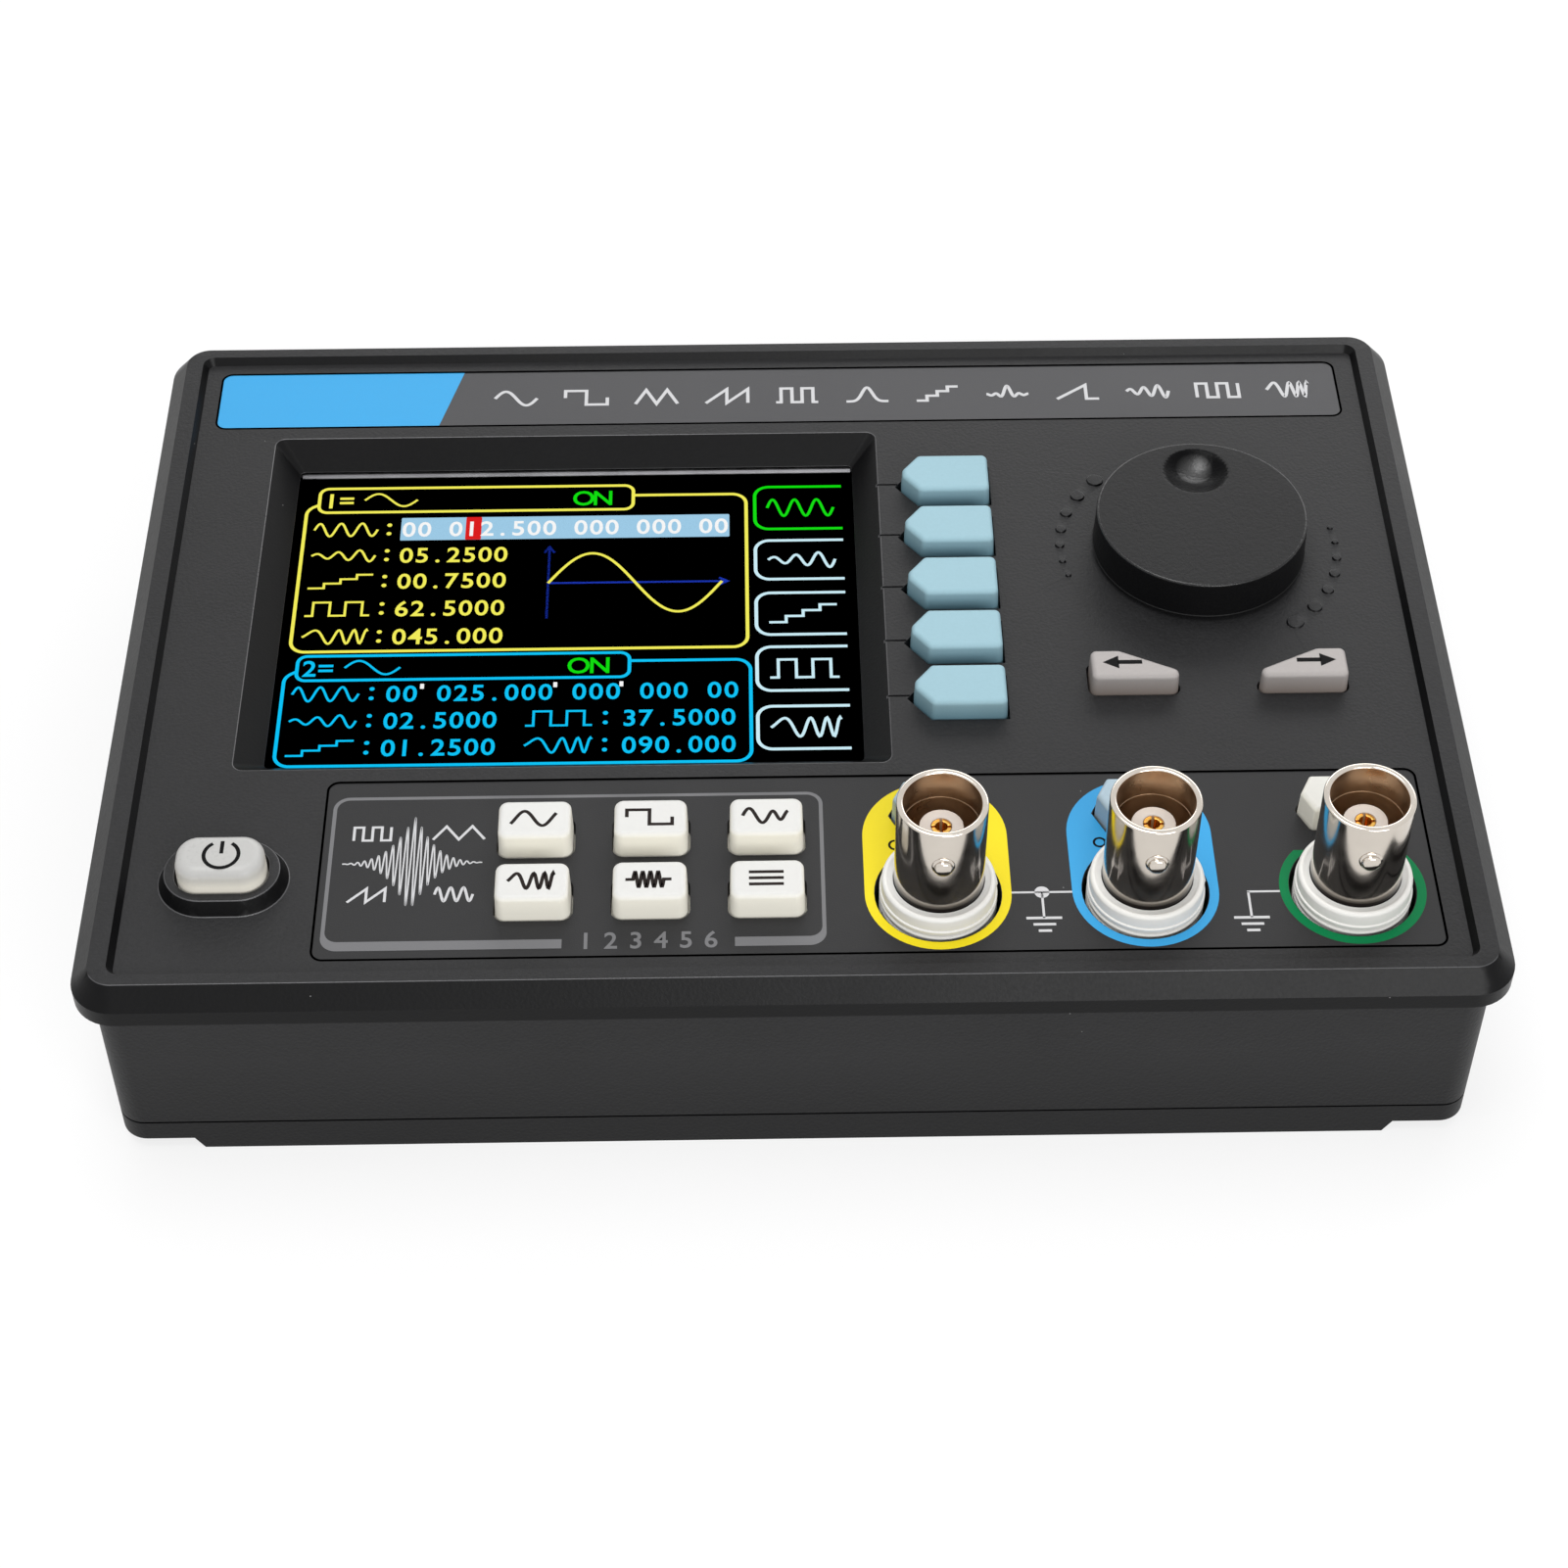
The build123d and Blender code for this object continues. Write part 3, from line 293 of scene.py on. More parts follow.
clean = {"Grain": 2500.0, "Dust Size": 0.0}
flat = {"Grain": 6000.0}
# Painted light: a faint warm glow on the white keys and the power button stands in for light passing through
# their translucent plastic.
paintedGlow = {"Emission Color": (1.0, 0.95, 0.84, 1.0), "Emission Strength": 0.07}
paints = {
    # Painted shade: the case is painted darker towards the bottom of its wall, where less light reaches.
    "case": finish("casePlastic", srgb(32, 32, 33), 0.48, depth=1.0, tone=0.28, gloss=0.18,
                   paintedFade=(srgb(22, 22, 23), 5.0, 15.0)),
    # Polished plastic, glossier than the case and painted near black: painted shade on leaning faces, the
    # lip, the dots' sides and the cover above its seam.
    "polishedShade": finish("casePolishedShade", srgb(7, 7, 8), 0.34, depth=0.3, gloss=0.13),
    # Painted highlight: the case's rounded edges are painted lighter and glossier than the case, as bright
    # lines along them.
    "edge": finish("caseEdge", srgb(58, 58, 60), 0.3, gloss=0.5),
    "cover": finish("coverPlastic", srgb(18, 18, 19), 0.5, depth=0.8, tone=0.1, gloss=0.18),
    "film": finish("panelFilm", srgb(36, 36, 37), 0.42, depth=0.3, tone=0.04, grain=flat, gloss=0.18),
    "header": finish("headerFilm", srgb(62, 62, 64), 0.38, tone=0.03, grain=flat, gloss=0.2),
    "knob": finish("knobPlastic", srgb(12, 12, 13), 0.42, depth=0.6, tone=0.1, gloss=0.16),
    # The dimple's plastic: glossier, and painted near black as shade in the hollow.
    "knobGlossShade": finish("knobGlossShade", srgb(4, 4, 5), 0.3, depth=1.0, tone=0.1),
    # Painted highlight: the knob's top edge ring is painted lighter and glossier than the knob.
    "knobEdge": finish("knobEdge", srgb(17, 17, 18), 0.26, depth=1.0, tone=0.2, gloss=0.36),
    # Painted light: the white keys' sides, from 0.6 below the top down, are painted lighter and warmer than
    # the tops, as light through the translucent plastic.
    "keyWhite": finish("keyWhite", srgb(198, 198, 196), 0.38, depth=0.08, tone=0.02, grain=clean, **paintedGlow,
                       paintedFade=paintedFadeUp("function_key_1", srgb(240, 237, 224), -0.6, -0.05)),
    # Painted shade: the soft keys' lower sides are painted darker than their tops.
    "keyBlue": finish("keyBlue", srgb(144, 177, 188), 0.55, depth=0.12, tone=0.03, grain=clean,
                      paintedFade=(srgb(104, 140, 154), filmTop, highest("soft_key_1") - 0.3)),
    # Painted highlight: the soft keys' rounded edges are painted lighter than their tops.
    "keyBlueEdge": finish("keyBlueEdge", srgb(170, 200, 208), 0.4, depth=0.12, tone=0.03, grain=clean),
    # Painted shade: the arrow keys' lower sides are painted darker than their tops.
    "keyGrey": finish("keyWarmGrey", srgb(162, 157, 155), 0.42, depth=0.1, tone=0.03, grain=clean,
                      paintedFade=(srgb(132, 122, 116), filmTop, highest("arrow_key_left") - 0.3)),
    "keyClear": finish("keyTranslucent", srgb(168, 188, 200), 0.35, depth=0.08, tone=0.03, grain=clean),
    # Painted light: the power button's lower front is painted lighter and warmer than its top, as light
    # through the translucent plastic.
    "power": finish("powerWhite", srgb(166, 166, 165), 0.3, depth=0.06, tone=0.03, grain=clean, **paintedGlow,
                    paintedFade=paintedFadeUp("power_button", srgb(230, 226, 214), -2.2, -0.5)),
    # Painted reflection: the barrels are painted near black at their feet, as the dark panel reflected in
    # them.
    "nickel": finish("nickel", srgb(208, 200, 190), 0.13, metalGroup, depth=0.03, tone=0.03, swing=0.04,
                     Metallic=1.0, paintedFade=paintedFadeUp("bnc_1_base", srgb(36, 32, 30), 0.3, 1.6)),
    # Nickel for the bore: rougher, and painted darker and warmer than the outside, as painted shade inside
    # the bore.
    "nickelShadedInside": finish("nickelShadedInside", srgb(196, 168, 138), 0.33, metalGroup, depth=0.05, tone=0.1,
                           swing=0.08, Metallic=1.0),
    "gold": finish("gold", srgb(236, 186, 96), 0.2, metalGroup, depth=0.03, tone=0.04, swing=0.04,
                   Metallic=1.0),
    "steel": finish("steel", srgb(170, 170, 172), 0.32, metalGroup, depth=0.05, tone=0.05, Metallic=1.0),
    "nylon": finish("socketWhite", srgb(222, 221, 217), 0.35, depth=0.05, tone=0.02, grain=clean),
    "fluoro": finish("dielectricWhite", srgb(214, 208, 202), 0.45, depth=0.05, tone=0.03, grain=clean),
    "board": finish("boardGreen", srgb(24, 92, 52), 0.35, depth=0.1),
    "parts": finish("componentBlack", srgb(34, 34, 35), 0.45),
    "foam": finish("foam", srgb(30, 30, 30), 0.9, depth=0.8),
    "glass": finish("displayGlass", srgb(0, 0, 0), 0.3, depth=0.02, tone=0.1, grain=clean, gloss=0.0),
}


def ink(name, colour, gloss=0.22):
    grain = {"Grain": 7000.0, "Dust Size": 0.015}
    return finish(name, colour, 0.45, depth=0.1, tone=0.025, grain=grain, gloss=gloss)


glowSet = {"cells": 9000.0, "dim": 0.86, "base": 0.02, "strength": 1.0}


def lit(name, colour):
    # Lit parts of the display: a faint cell pattern over an even glow.
    base, dim = (tuple(glowSet[key] * c for c in colour) for key in ("base", "dim"))
    material = finish(name, base, 0.4, grain=clean, gloss=0.02, **{"Emission Strength": glowSet["strength"]})
    tree = material.node_tree
    cells = addNode(tree, "ShaderNodeTexVoronoi", {"Scale": glowSet["cells"], "Vector": objectSpot(tree)})
    pattern = mixColours(tree, cells.outputs["Distance"], colour, dim)
    link(tree, pattern, tree.nodes["Principled BSDF"].inputs["Emission Color"])
    return material


inks = {
    "blue": ink("inkBlue", srgb(50, 150, 205)),
    "yellow": ink("inkYellow", srgb(222, 202, 14)),
    "green": ink("inkGreen", srgb(0, 110, 62), gloss=0.1),
    "pale": ink("inkPale", srgb(188, 188, 190)),
    "grey": ink("inkGrey", srgb(104, 104, 106)),
    "black": ink("inkBlack", srgb(6, 6, 7), gloss=0.06),
    "warmBlack": ink("inkWarmBlack", srgb(34, 28, 26), gloss=0.06),
}
glows = {
    "yellow": lit("glowYellow", srgb(246, 240, 90)),
    "cyan": lit("glowCyan", srgb(0, 196, 248)),
    "green": lit("glowGreen", srgb(0, 222, 0)),
    "pale": lit("glowPale", srgb(206, 240, 250)),
    "bar": lit("glowBar", srgb(158, 204, 232)),
    "white": lit("glowWhite", srgb(250, 250, 250)),
    "red": lit("glowRed", srgb(222, 20, 20)),
    "axis": lit("glowAxis", srgb(24, 58, 200)),
}
print("finishes made")


# Mesh helpers. Sizes are in millimetres until the mesh is settled.
def settle(name, body, slotName, paint, mesh, replaced=(), turnAngle=40, outward=True):
    if outward:
        bmesh.ops.recalc_face_normals(mesh, faces=mesh.faces)
    data = bpy.data.meshes.new(name)
    mesh.to_mesh(data)
    mesh.free()
    if "custom_normal" in data.attributes:
        data.attributes.remove(data.attributes["custom_normal"])
    data.transform(Matrix.Scale(mm, 4))
    data.materials.append(paint)
    return addPiece(name, data, body, replaced, turnAngle, not outward)


def addPiece(name, data, body, replaced=(), turnAngle=40, evenly=False):
    data.shade_smooth()
    data.set_sharp_from_angle(angle=radians(turnAngle))
    piece = newObject(name, data)
    if evenly:
        piece.modifiers.new("evenNormals", "WEIGHTED_NORMAL").keep_sharp = True
    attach(piece, body)
    if replaced:
        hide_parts(*replaced)
    return piece


def dress(node, name, slotName, paint, mesh, **how):
    # A piece that rides with a node's body and stands for that node.
    return settle(name, nodes[node]["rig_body"], slotName, paints[paint], mesh, [node], **how)


def addTurned(mesh, profile, centre, axis=(0, 0, 1), steps=96, closed=True):
    # Turns (radius, height) pairs round an axis through centre; a zero radius makes one pole point.
    turn = Vector((0, 0, 1)).rotation_difference(Vector(axis)).to_matrix()
    rings = []
    for radius, height in profile:
        angles = [tau * k / steps for k in range(steps)] if radius > 1e-6 else [0.0]
        spots = [Vector((radius * cos(a), radius * sin(a), height)) for a in angles]
        rings.append([mesh.verts.new(Vector(centre) + turn @ spot) for spot in spots])
    pairs = list(zip(rings, rings[1:])) + ([(rings[-1], rings[0])] if closed else [])
    for low, high in pairs:
        if len(low) == 1 and len(high) == 1:
            continue
        for k in range(steps):
            n = k + 1
            loop = [low[k % len(low)], low[n % len(low)], high[n % len(high)], high[k % len(high)]]
            mesh.faces.new(list(dict.fromkeys(loop)))


def addRibbon(mesh, path, width, low, high, closed=False, mitre=0.4):
    # A stroke of even width along a flat path, as a thin closed prism. Sharp corners reach no more than
    # 1 / mitre of half its width.
    path = [Vector(p) for p in path]
    count = len(path)
    rings = []
    for i, point in enumerate(path):
        before = path[i - 1] if (i or closed) else None
        after = path[(i + 1) % count] if (i < count - 1 or closed) else None
        arrive = (point - before).normalized() if before is not None else (after - point).normalized()
        leave = (after - point).normalized() if after is not None else arrive
        way = (arrive + leave).normalized() if (arrive + leave).length > 1e-6 else arrive
        across = Vector((-way.y, way.x))
        side = across * width / 2
        side /= max(mitre, Vector((-arrive.y, arrive.x)).dot(across))
        one, other = point - side, point + side
        spots = ((*one, low), (*other, low), (*other, high), (*one, high))
        rings.append([mesh.verts.new(spot) for spot in spots])
    pairs = list(zip(rings, rings[1:])) + ([(rings[-1], rings[0])] if closed else [])
    for first, second in pairs:
        for k in range(4):
            mesh.faces.new((first[k], first[(k + 1) % 4], second[(k + 1) % 4], second[k]))
    if not closed:
        mesh.faces.new(rings[0])
        mesh.faces.new(rings[-1])


def meshOf(holder):
    # The object's shape with its modifiers, as a plain mesh; the object is removed.
    bpy.context.view_layer.update()
    made = bpy.data.meshes.new_from_object(holder.evaluated_get(bpy.context.evaluated_depsgraph_get()))
    bpy.data.objects.remove(holder)
    return made


def addPatch(mesh, outline, low, high, holes=()):
    # A flat filled shape as a thin closed prism; holes are outlines that lie inside it.
    curve = bpy.data.curves.new("patch", "CURVE")
    curve.dimensions = "2D"
    curve.fill_mode = "BOTH"
    curve.extrude = (high - low) / 2
    for loop in (outline, *holes):
        spline = curve.splines.new("POLY")
        spline.points.add(len(loop) - 1)
        for point, spot in zip(spline.points, loop):
            point.co = (spot[0], spot[1], 0, 1)
        spline.use_cyclic_u = True
    made = meshOf(newObject("patch", curve))
    made.transform(Matrix.Translation((0, 0, (low + high) / 2)))
    mesh.from_mesh(made)
    bmesh.ops.remove_doubles(mesh, verts=mesh.verts, dist=1e-4)
    bpy.data.meshes.remove(made)


textSet = {"weight": 0.014, "squeeze": 0.95, "capital": 0.73}  # capital: a capital's height in the font
glyphs = {}


def glyph(letter):
    # One character as a flat solid, 1 high and centred on its cell, made once and kept.
    if letter not in glyphs:
        curve = bpy.data.curves.new("letter", "FONT")
        curve.body, curve.offset, curve.extrude, curve.resolution_u = letter, textSet["weight"], 0.5, 4
        made = meshOf(newObject("letter", curve))
        low, high = min(v.co.x for v in made.vertices), max(v.co.x for v in made.vertices)
        grow = 1 / textSet["capital"]
        made.transform(Matrix.Diagonal((grow, grow, 1, 1)) @ Matrix.Translation((-(low + high) / 2, 0, 0)))
        glyphs[letter] = made
    return glyphs[letter]


def addText(mesh, words, left, bottom, height, low, high, pitch):
    for k, letter in enumerate(words):
        if letter != " ":
            data = glyph(letter).copy()
            move = Matrix.Translation((left + (k + 0.5) * pitch, bottom, (low + high) / 2))
            data.transform(move @ Matrix.Diagonal((height * textSet["squeeze"], height, high - low, 1)))
            mesh.from_mesh(data)
            bpy.data.meshes.remove(data)


def arc(centre, radius, start, end, steps=16):
    angles = [radians(start + (end - start) * k / steps) for k in range(steps + 1)]
    return [(centre[0] + radius * cos(a), centre[1] + radius * sin(a)) for a in angles]


def roundedBox(left, bottom, right, high, radius, steps=8):
    path = arc((right - radius, high - radius), radius, 0, 90, steps)
    path += arc((left + radius, high - radius), radius, 90, 180, steps)
    path += arc((left + radius, bottom + radius), radius, 180, 270, steps)
    return path + arc((right - radius, bottom + radius), radius, 270, 360, steps)


def circle(centre, radius, steps=48):
    return arc(centre, radius, 0, 360, steps)[:-1]


def softCopy(node, zones, edgeSlot=0, segments=2, minimum=25, merge=0.9):
    # The node's own shape with its hard edges rounded, as moulded parts have them. Each zone is a test of a
    # point and the width that its edges are rounded by; minimum and merge are angles in degrees.
    mesh = bmesh.new()
    mesh.from_mesh(nodes[node].data)
    bmesh.ops.scale(mesh, vec=(1 / mm,) * 3, verts=mesh.verts)
    bmesh.ops.remove_doubles(mesh, verts=mesh.verts, dist=1e-3)
    bmesh.ops.dissolve_limit(mesh, angle_limit=radians(merge), verts=mesh.verts, edges=mesh.edges)
    for inside, width in zones:
        hard = [e for e in mesh.edges if len(e.link_faces) == 2 and all(inside(v.co) for v in e.verts)]
        hard = [e for e in hard if e.calc_face_angle(0.0) > radians(minimum)]
        bmesh.ops.bevel(mesh, geom=hard, offset=width, segments=segments, profile=0.5, affect="EDGES",
                        clamp_overlap=True, material=edgeSlot)
    bmesh.ops.dissolve_degenerate(mesh, dist=1e-4, edges=mesh.edges)
    bmesh.ops.triangulate(mesh, faces=[f for f in mesh.faces if len(f.verts) > 4])
    return mesh


def everywhere(point):
    return True


def near(spot, radius):
    return lambda point: (point.xy - spot).length < radius


# Hidden and plain CAD nodes keep their shape and get their finish.
plain = {
    "back_cover_screws": "steel", "board_screws": "steel", "lcd_frame": "steel", "encoder_shaft": "steel",
    "main_board": "board", "board_components": "parts", "tact_switches": "parts", "encoder_body": "parts",
    "dc_jack": "parts", "usb_socket": "parts", "lcd_pads": "foam", "lcd_panel": "glass",
    "header_label": "header", "lower_label": "film",
}
for name, piece in nodes.items():
    paint = plain.get(name, "parts" if name.endswith("plunger") else None)
    if paint:
        piece.data.materials.clear()
        piece.data.materials.append(paints[paint])

# Shells. Leaning faces and the lip are polished where the rest of the mould is textured, and painted darker
# as shade, as are the dots' sides and the cover above its seam; rounded edges are painted lighter as
# highlights.
# leaning and level are limits of a face's upward normal; collarReach and dotReach are radii.
shellSet = {"seam": 4.3, "sill": 20.0, "lip": 23.9, "brim": 27.0, "deep": 49.8, "leaning": 0.15,
            "level": 0.93, "collarReach": 8.8, "dotReach": 18.6}
edgeWidths = {"brim": 0.3, "window": 0.06, "collar": 0.08, "dots": 0.05, "cover": 0.2}
windowSet = {"spot": middle("lcd_frame"), "wide": 38.0, "deep": 29.0, "low": 24.4}


def onLip(point):
    return point.z > shellSet["lip"] and abs(point.y) > shellSet["deep"]


def onBrim(point):
    return onLip(point) and point.z > shellSet["brim"]


def onWindow(point):
    away = point.xy - windowSet["spot"]
    return point.z > windowSet["low"] and abs(away.x) < windowSet["wide"] and abs(away.y) < windowSet["deep"]


def onFoot(point):
    return point.z < shellSet["seam"]


nearCollar = near(middle("power_button"), shellSet["collarReach"])
nearDots = near(middle("knob"), shellSet["dotReach"])
shells = {
    "front_case": ("case", [(onBrim, edgeWidths["brim"]), (onWindow, edgeWidths["window"]),
                            (nearCollar, edgeWidths["collar"]), (nearDots, edgeWidths["dots"])]),
    "back_cover": ("cover", [(onFoot, edgeWidths["cover"])]),
}
for name, (paint, zones) in shells.items():
    rounded = softCopy(name, zones, edgeSlot=1)
    shell = dress(name, name + "Shell", "case_plastic", paint, rounded, outward=False)
    # Slot 1 holds the painted highlight of the rounded edges, slot 2 the painted shade.
    shell.data.materials.append(paints["edge"])
    shell.data.materials.append(paints["polishedShade"])
    for face in shell.data.polygons:
        spot = face.center / mm
        if paint == "case":
            uncut = face.normal.z < shellSet["level"] and face.material_index == 0
            leaning = face.normal.z > shellSet["leaning"] and spot.z > shellSet["sill"]
            # Painted shade: leaning faces, the lip and the dots' sides take the near-black polished paint.
            polishedShaded = uncut and (leaning or onLip(spot) or nearDots(spot))
        else:
            # Painted shade: above its seam the cover takes the near-black paint, as shade in the seam's gap.
            polishedShaded = spot.z > shellSet["seam"]
        face.material_index = 2 if polishedShaded else face.material_index
print("case finished")

# Keys, and the mat under the soft keys: rounded copies of their own solids. Where a paint has a partner
# painted lighter as a highlight, the rounding takes it.
keyShape = {"edge": 0.12, "turnAngle": 60}
keyLooks = {"function_key": ("keyWhite", "key_white"), "soft_key": ("keyBlue", "key_blue"),
            "arrow_key": ("keyGrey", "key_warm_grey"), "channel_key": ("keyClear", "key_translucent"),
            "power_button": ("power", "power_white")}
for name in sorted(nodes):
    for start, (paint, slotName) in keyLooks.items():
        if name.startswith(start) and not name.endswith("plunger"):
            if name == "channel_key_3":
                paint, slotName = keyLooks["function_key"]
            # A paint's highlight partner paints the rounded edges lighter: a painted highlight.
            edgeHighlightPaint = paints.get(paint + "Edge")
            rounded = softCopy(name, [(everywhere, keyShape["edge"])], edgeSlot=int(edgeHighlightPaint is not None))
            cap = dress(name, name + "Cap", slotName, paint, rounded, outward=False,
                        turnAngle=keyShape["turnAngle"])
            if edgeHighlightPaint:
                cap.data.materials.append(edgeHighlightPaint)
print("keys finished")

# Knob: one revolved skin whose top dips smoothly at the finger dimple. The foot's pairs are (distance in from
# the side, height above the bottom).
knobSet = {"side": 12.5, "top": 12.3, "edge": 0.28, "dimple": 3.85, "deep": 1.4, "soft": 0.06, "offset": 7.3,
           "foot": ((0.08, 0.15), (0, 0.08), (0.1, 0), (1.4, 0), (1.5, 2.0)), "hub": 4.0, "hollow": 2.0,
           "rings": 72, "steps": 160}


def knobTop(x, y):
    # A spherical dimple whose rim is eased over the share "soft".
    away = sqrt(x * x + (y - knobSet["offset"]) ** 2) / knobSet["dimple"]
    bowl, soft = max(0.0, 1 - away * away), knobSet["soft"]
    return -knobSet["deep"] * (bowl - soft * (1 - exp(-bowl / soft)))


def knobMesh():
    low, high = corners("knob")
    centre = (low + high) / 2
    edge, flatEnd, steps = knobSet["edge"], knobSet["top"] - knobSet["edge"], knobSet["steps"]
    hollow = low.z + knobSet["hollow"]
    mesh = bmesh.new()
    rings = []
    profile = [(flatEnd * k / knobSet["rings"], None) for k in range(1, knobSet["rings"])]
    angles = [radians(9 * k) for k in range(11)]
    profile += [(flatEnd + edge * sin(a), high.z - edge + edge * cos(a)) for a in angles]
    profile += [(knobSet["side"] - inward, low.z + up) for inward, up in knobSet["foot"]]
    profile += [(knobSet["hub"], hollow)]
    for radius, height in profile:
        ring = []
        for k in range(steps):
            a = tau * k / steps
            x, y = radius * cos(a), radius * sin(a)
            z = height if height is not None else high.z + knobTop(x, y)
            ring.append(mesh.verts.new((centre.x + x, centre.y + y, z)))
        rings.append(ring)
    for first, second in zip(rings, rings[1:]):
        for k in range(steps):
            n = (k + 1) % steps
            mesh.faces.new((first[k], second[k], second[n], first[n]))
    for ring, height in ((rings[0], high.z + knobTop(0, 0)), (rings[-1], hollow)):
        pole = mesh.verts.new((centre.x, centre.y, height))
        for k in range(steps):
            mesh.faces.new((ring[k], ring[(k + 1) % steps], pole))
    return mesh


knobSkin = dress("knob", "knobSkin", "knob_plastic", "knob", knobMesh())
knobSkin.data.materials.append(paints["knobGlossShade"])
knobSkin.data.materials.append(paints["knobEdge"])
knobSpot, knobHigh = middle("knob"), highest("knob")
dimpleSpot = knobSpot + Vector((0, knobSet["offset"]))
# The dimple takes the glossier paint, painted near black as shade; the ring at the top edge takes the painted
# highlight.
for face in knobSkin.data.polygons:
    spot = face.center / mm
    outside = (spot.xy - knobSpot).length > knobSet["top"] - knobSet["edge"]
    dimpled = face.normal.z > 0 and (spot.xy - dimpleSpot).length < knobSet["dimple"]
    face.material_index = 2 if outside and spot.z > knobHigh - knobSet["edge"] else int(dimpled)

# Fingers polish the floor of the dimple: its gloss falls off with the distance from its deepest point.
wearSet = {"gloss": 0.8, "rest": 0.06, "bright": 0.4, "dull": 2.3, "back": 1.3, "drop": 1.2}
wornSpot = Vector((dimpleSpot.x, dimpleSpot.y + wearSet["back"], knobHigh - wearSet["drop"])) * mm
wornTree = paints["knobGlossShade"].node_tree
away = addNode(wornTree, "ShaderNodeVectorMath", {0: objectSpot(wornTree), 1: wornSpot}, operation="DISTANCE")
wornEnds = wearSet["bright"] * mm, wearSet["dull"] * mm
worn = spread(wornTree, away.outputs["Value"], wearSet["gloss"], wearSet["rest"], *wornEnds)
link(wornTree, worn, wornTree.nodes["Principled BSDF"].inputs["Specular IOR Level"])
print("knob finished")

# Sockets: turned barrel with rounded rim and lugs, threaded white base, dielectric and contact.
# The lug's foot and crown are steps (across, along) from its radius and its ends. The base's crown is
# (radius, depth below its top).
socketSet = {"bore": 4.1, "step": 4.07, "rim": 0.22, "mouth": 3.7, "cup": 11.0, "floor": 2.4, "steps": 128,
             "dielectricEdge": 0.15, "contactEdge": 0.06, "turnAngle": 50, "inward": -0.5, "slack": 0.02}
lugSet = {"radius": 1.0, "root": 4.4, "reach": 5.5, "drop": 4.7, "steps": 40,
          "foot": ((0.22, 0), (0.22, 0.45), (0.14, 0.52), (0, 0.56)),
          "crown": ((0, 0.25), (0.1, 0.1), (0.3, 0))}
baseSet = {"core": 6.12, "hole": 4.9, "threadDrop": 1.2, "threadTurnAngle": 70,
           "crown": ((6.12, 0.42), (6.06, 0.2), (5.9, 0.05), (5.78, 0), (5.6, 0), (5.5, 0.05), (5.4, 0.12),
                     (4.9, 0.14))}
threadSet = {"Turns": 4.0, "Radius": 6.12, "Height": 3.6, "Ridge": 0.2, "Steps": 96,
             "Finish": paints["nylon"]}


def barrelMesh(node):
    low, high = corners(node)
    centre = (low + high) / 2
    radius = (high.x - low.x) / 2
    rim, bore, step = socketSet["rim"], socketSet["bore"], socketSet["step"]
    mouth, cup = high.z - socketSet["mouth"], high.z - socketSet["cup"]
    turns = [radians(15 * k) for k in range(7)]
    profile = [(socketSet["floor"], low.z), (radius, low.z)]
    profile += [(radius - rim + rim * cos(a), high.z - rim + rim * sin(a)) for a in turns]
    profile += [(bore + rim - rim * sin(a), high.z - rim + rim * cos(a)) for a in turns]
    profile += [(bore, mouth), (step, mouth), (step, cup), (socketSet["floor"], cup)]
    mesh = bmesh.new()
    addTurned(mesh, profile, (centre.x, centre.y, 0), steps=socketSet["steps"])
    lug, reach = lugSet["radius"], lugSet["reach"] - lugSet["root"]
    dome = [(0, 0)] + [(lug + across, along) for across, along in lugSet["foot"]]
    dome += [(lug - across, reach - along) for across, along in lugSet["crown"]] + [(0, reach)]
    for side in (-1, 1):
        root = (centre.x, centre.y + side * lugSet["root"], high.z - lugSet["drop"])
        addTurned(mesh, dome, root, axis=(0, side, 0), steps=lugSet["steps"], closed=False)
    return mesh


def baseMesh(node):
    low, high = corners(node)
    centre = (low + high) / 2
    profile = [(baseSet["hole"], low.z), (baseSet["core"], low.z)]
    profile += [(radius, high.z - drop) for radius, drop in baseSet["crown"]]
    mesh = bmesh.new()
    addTurned(mesh, profile, (centre.x, centre.y, 0), steps=socketSet["steps"])
    return mesh


def sweep(tree, curve, outline):
    inputs = {"Curve": curve, "Profile Curve": outline, "Fill Caps": True}
    return addNode(tree, "GeometryNodeCurveToMesh", inputs).outputs["Mesh"]


def closeTree(tree, start, end, geometry):
    # Every tree ends in real meshes with their finish.
    solid = addNode(tree, "GeometryNodeRealizeInstances", {"Geometry": geometry})
    inputs = {"Geometry": solid.outputs["Geometry"], "Material": start["Finish"]}
    putOut(tree, end, Geometry=addNode(tree, "GeometryNodeSetMaterial", inputs).outputs["Geometry"])


def threadTree(inputs):
    # A ridge that winds round the base: a spiral with a round outline swept along it, set on one point.
    tree, start, end = newTree("socketThread", "GeometryNodeTree", inputs, ("Geometry",))
    spiralInputs = {"Resolution": start["Steps"], "Rotations": start["Turns"], "Height": start["Height"],
                    "Start Radius": start["Radius"], "End Radius": start["Radius"]}
    spiral = addNode(tree, "GeometryNodeCurveSpiral", spiralInputs).outputs["Curve"]
    bead = addNode(tree, "GeometryNodeCurvePrimitiveCircle", {"Resolution": 10, "Radius": start["Ridge"]})
    point = addNode(tree, "GeometryNodeMeshLine", {"Count": 1}).outputs["Mesh"]
    copyInputs = {"Points": point, "Instance": sweep(tree, spiral, bead.outputs["Curve"])}
    copies = addNode(tree, "GeometryNodeInstanceOnPoints", copyInputs)
    closeTree(tree, start, end, copies.outputs["Instances"])
    return tree


def inMetres(inputs, *lengths):
    return inputs | {title: inputs[title] * mm for title in lengths}


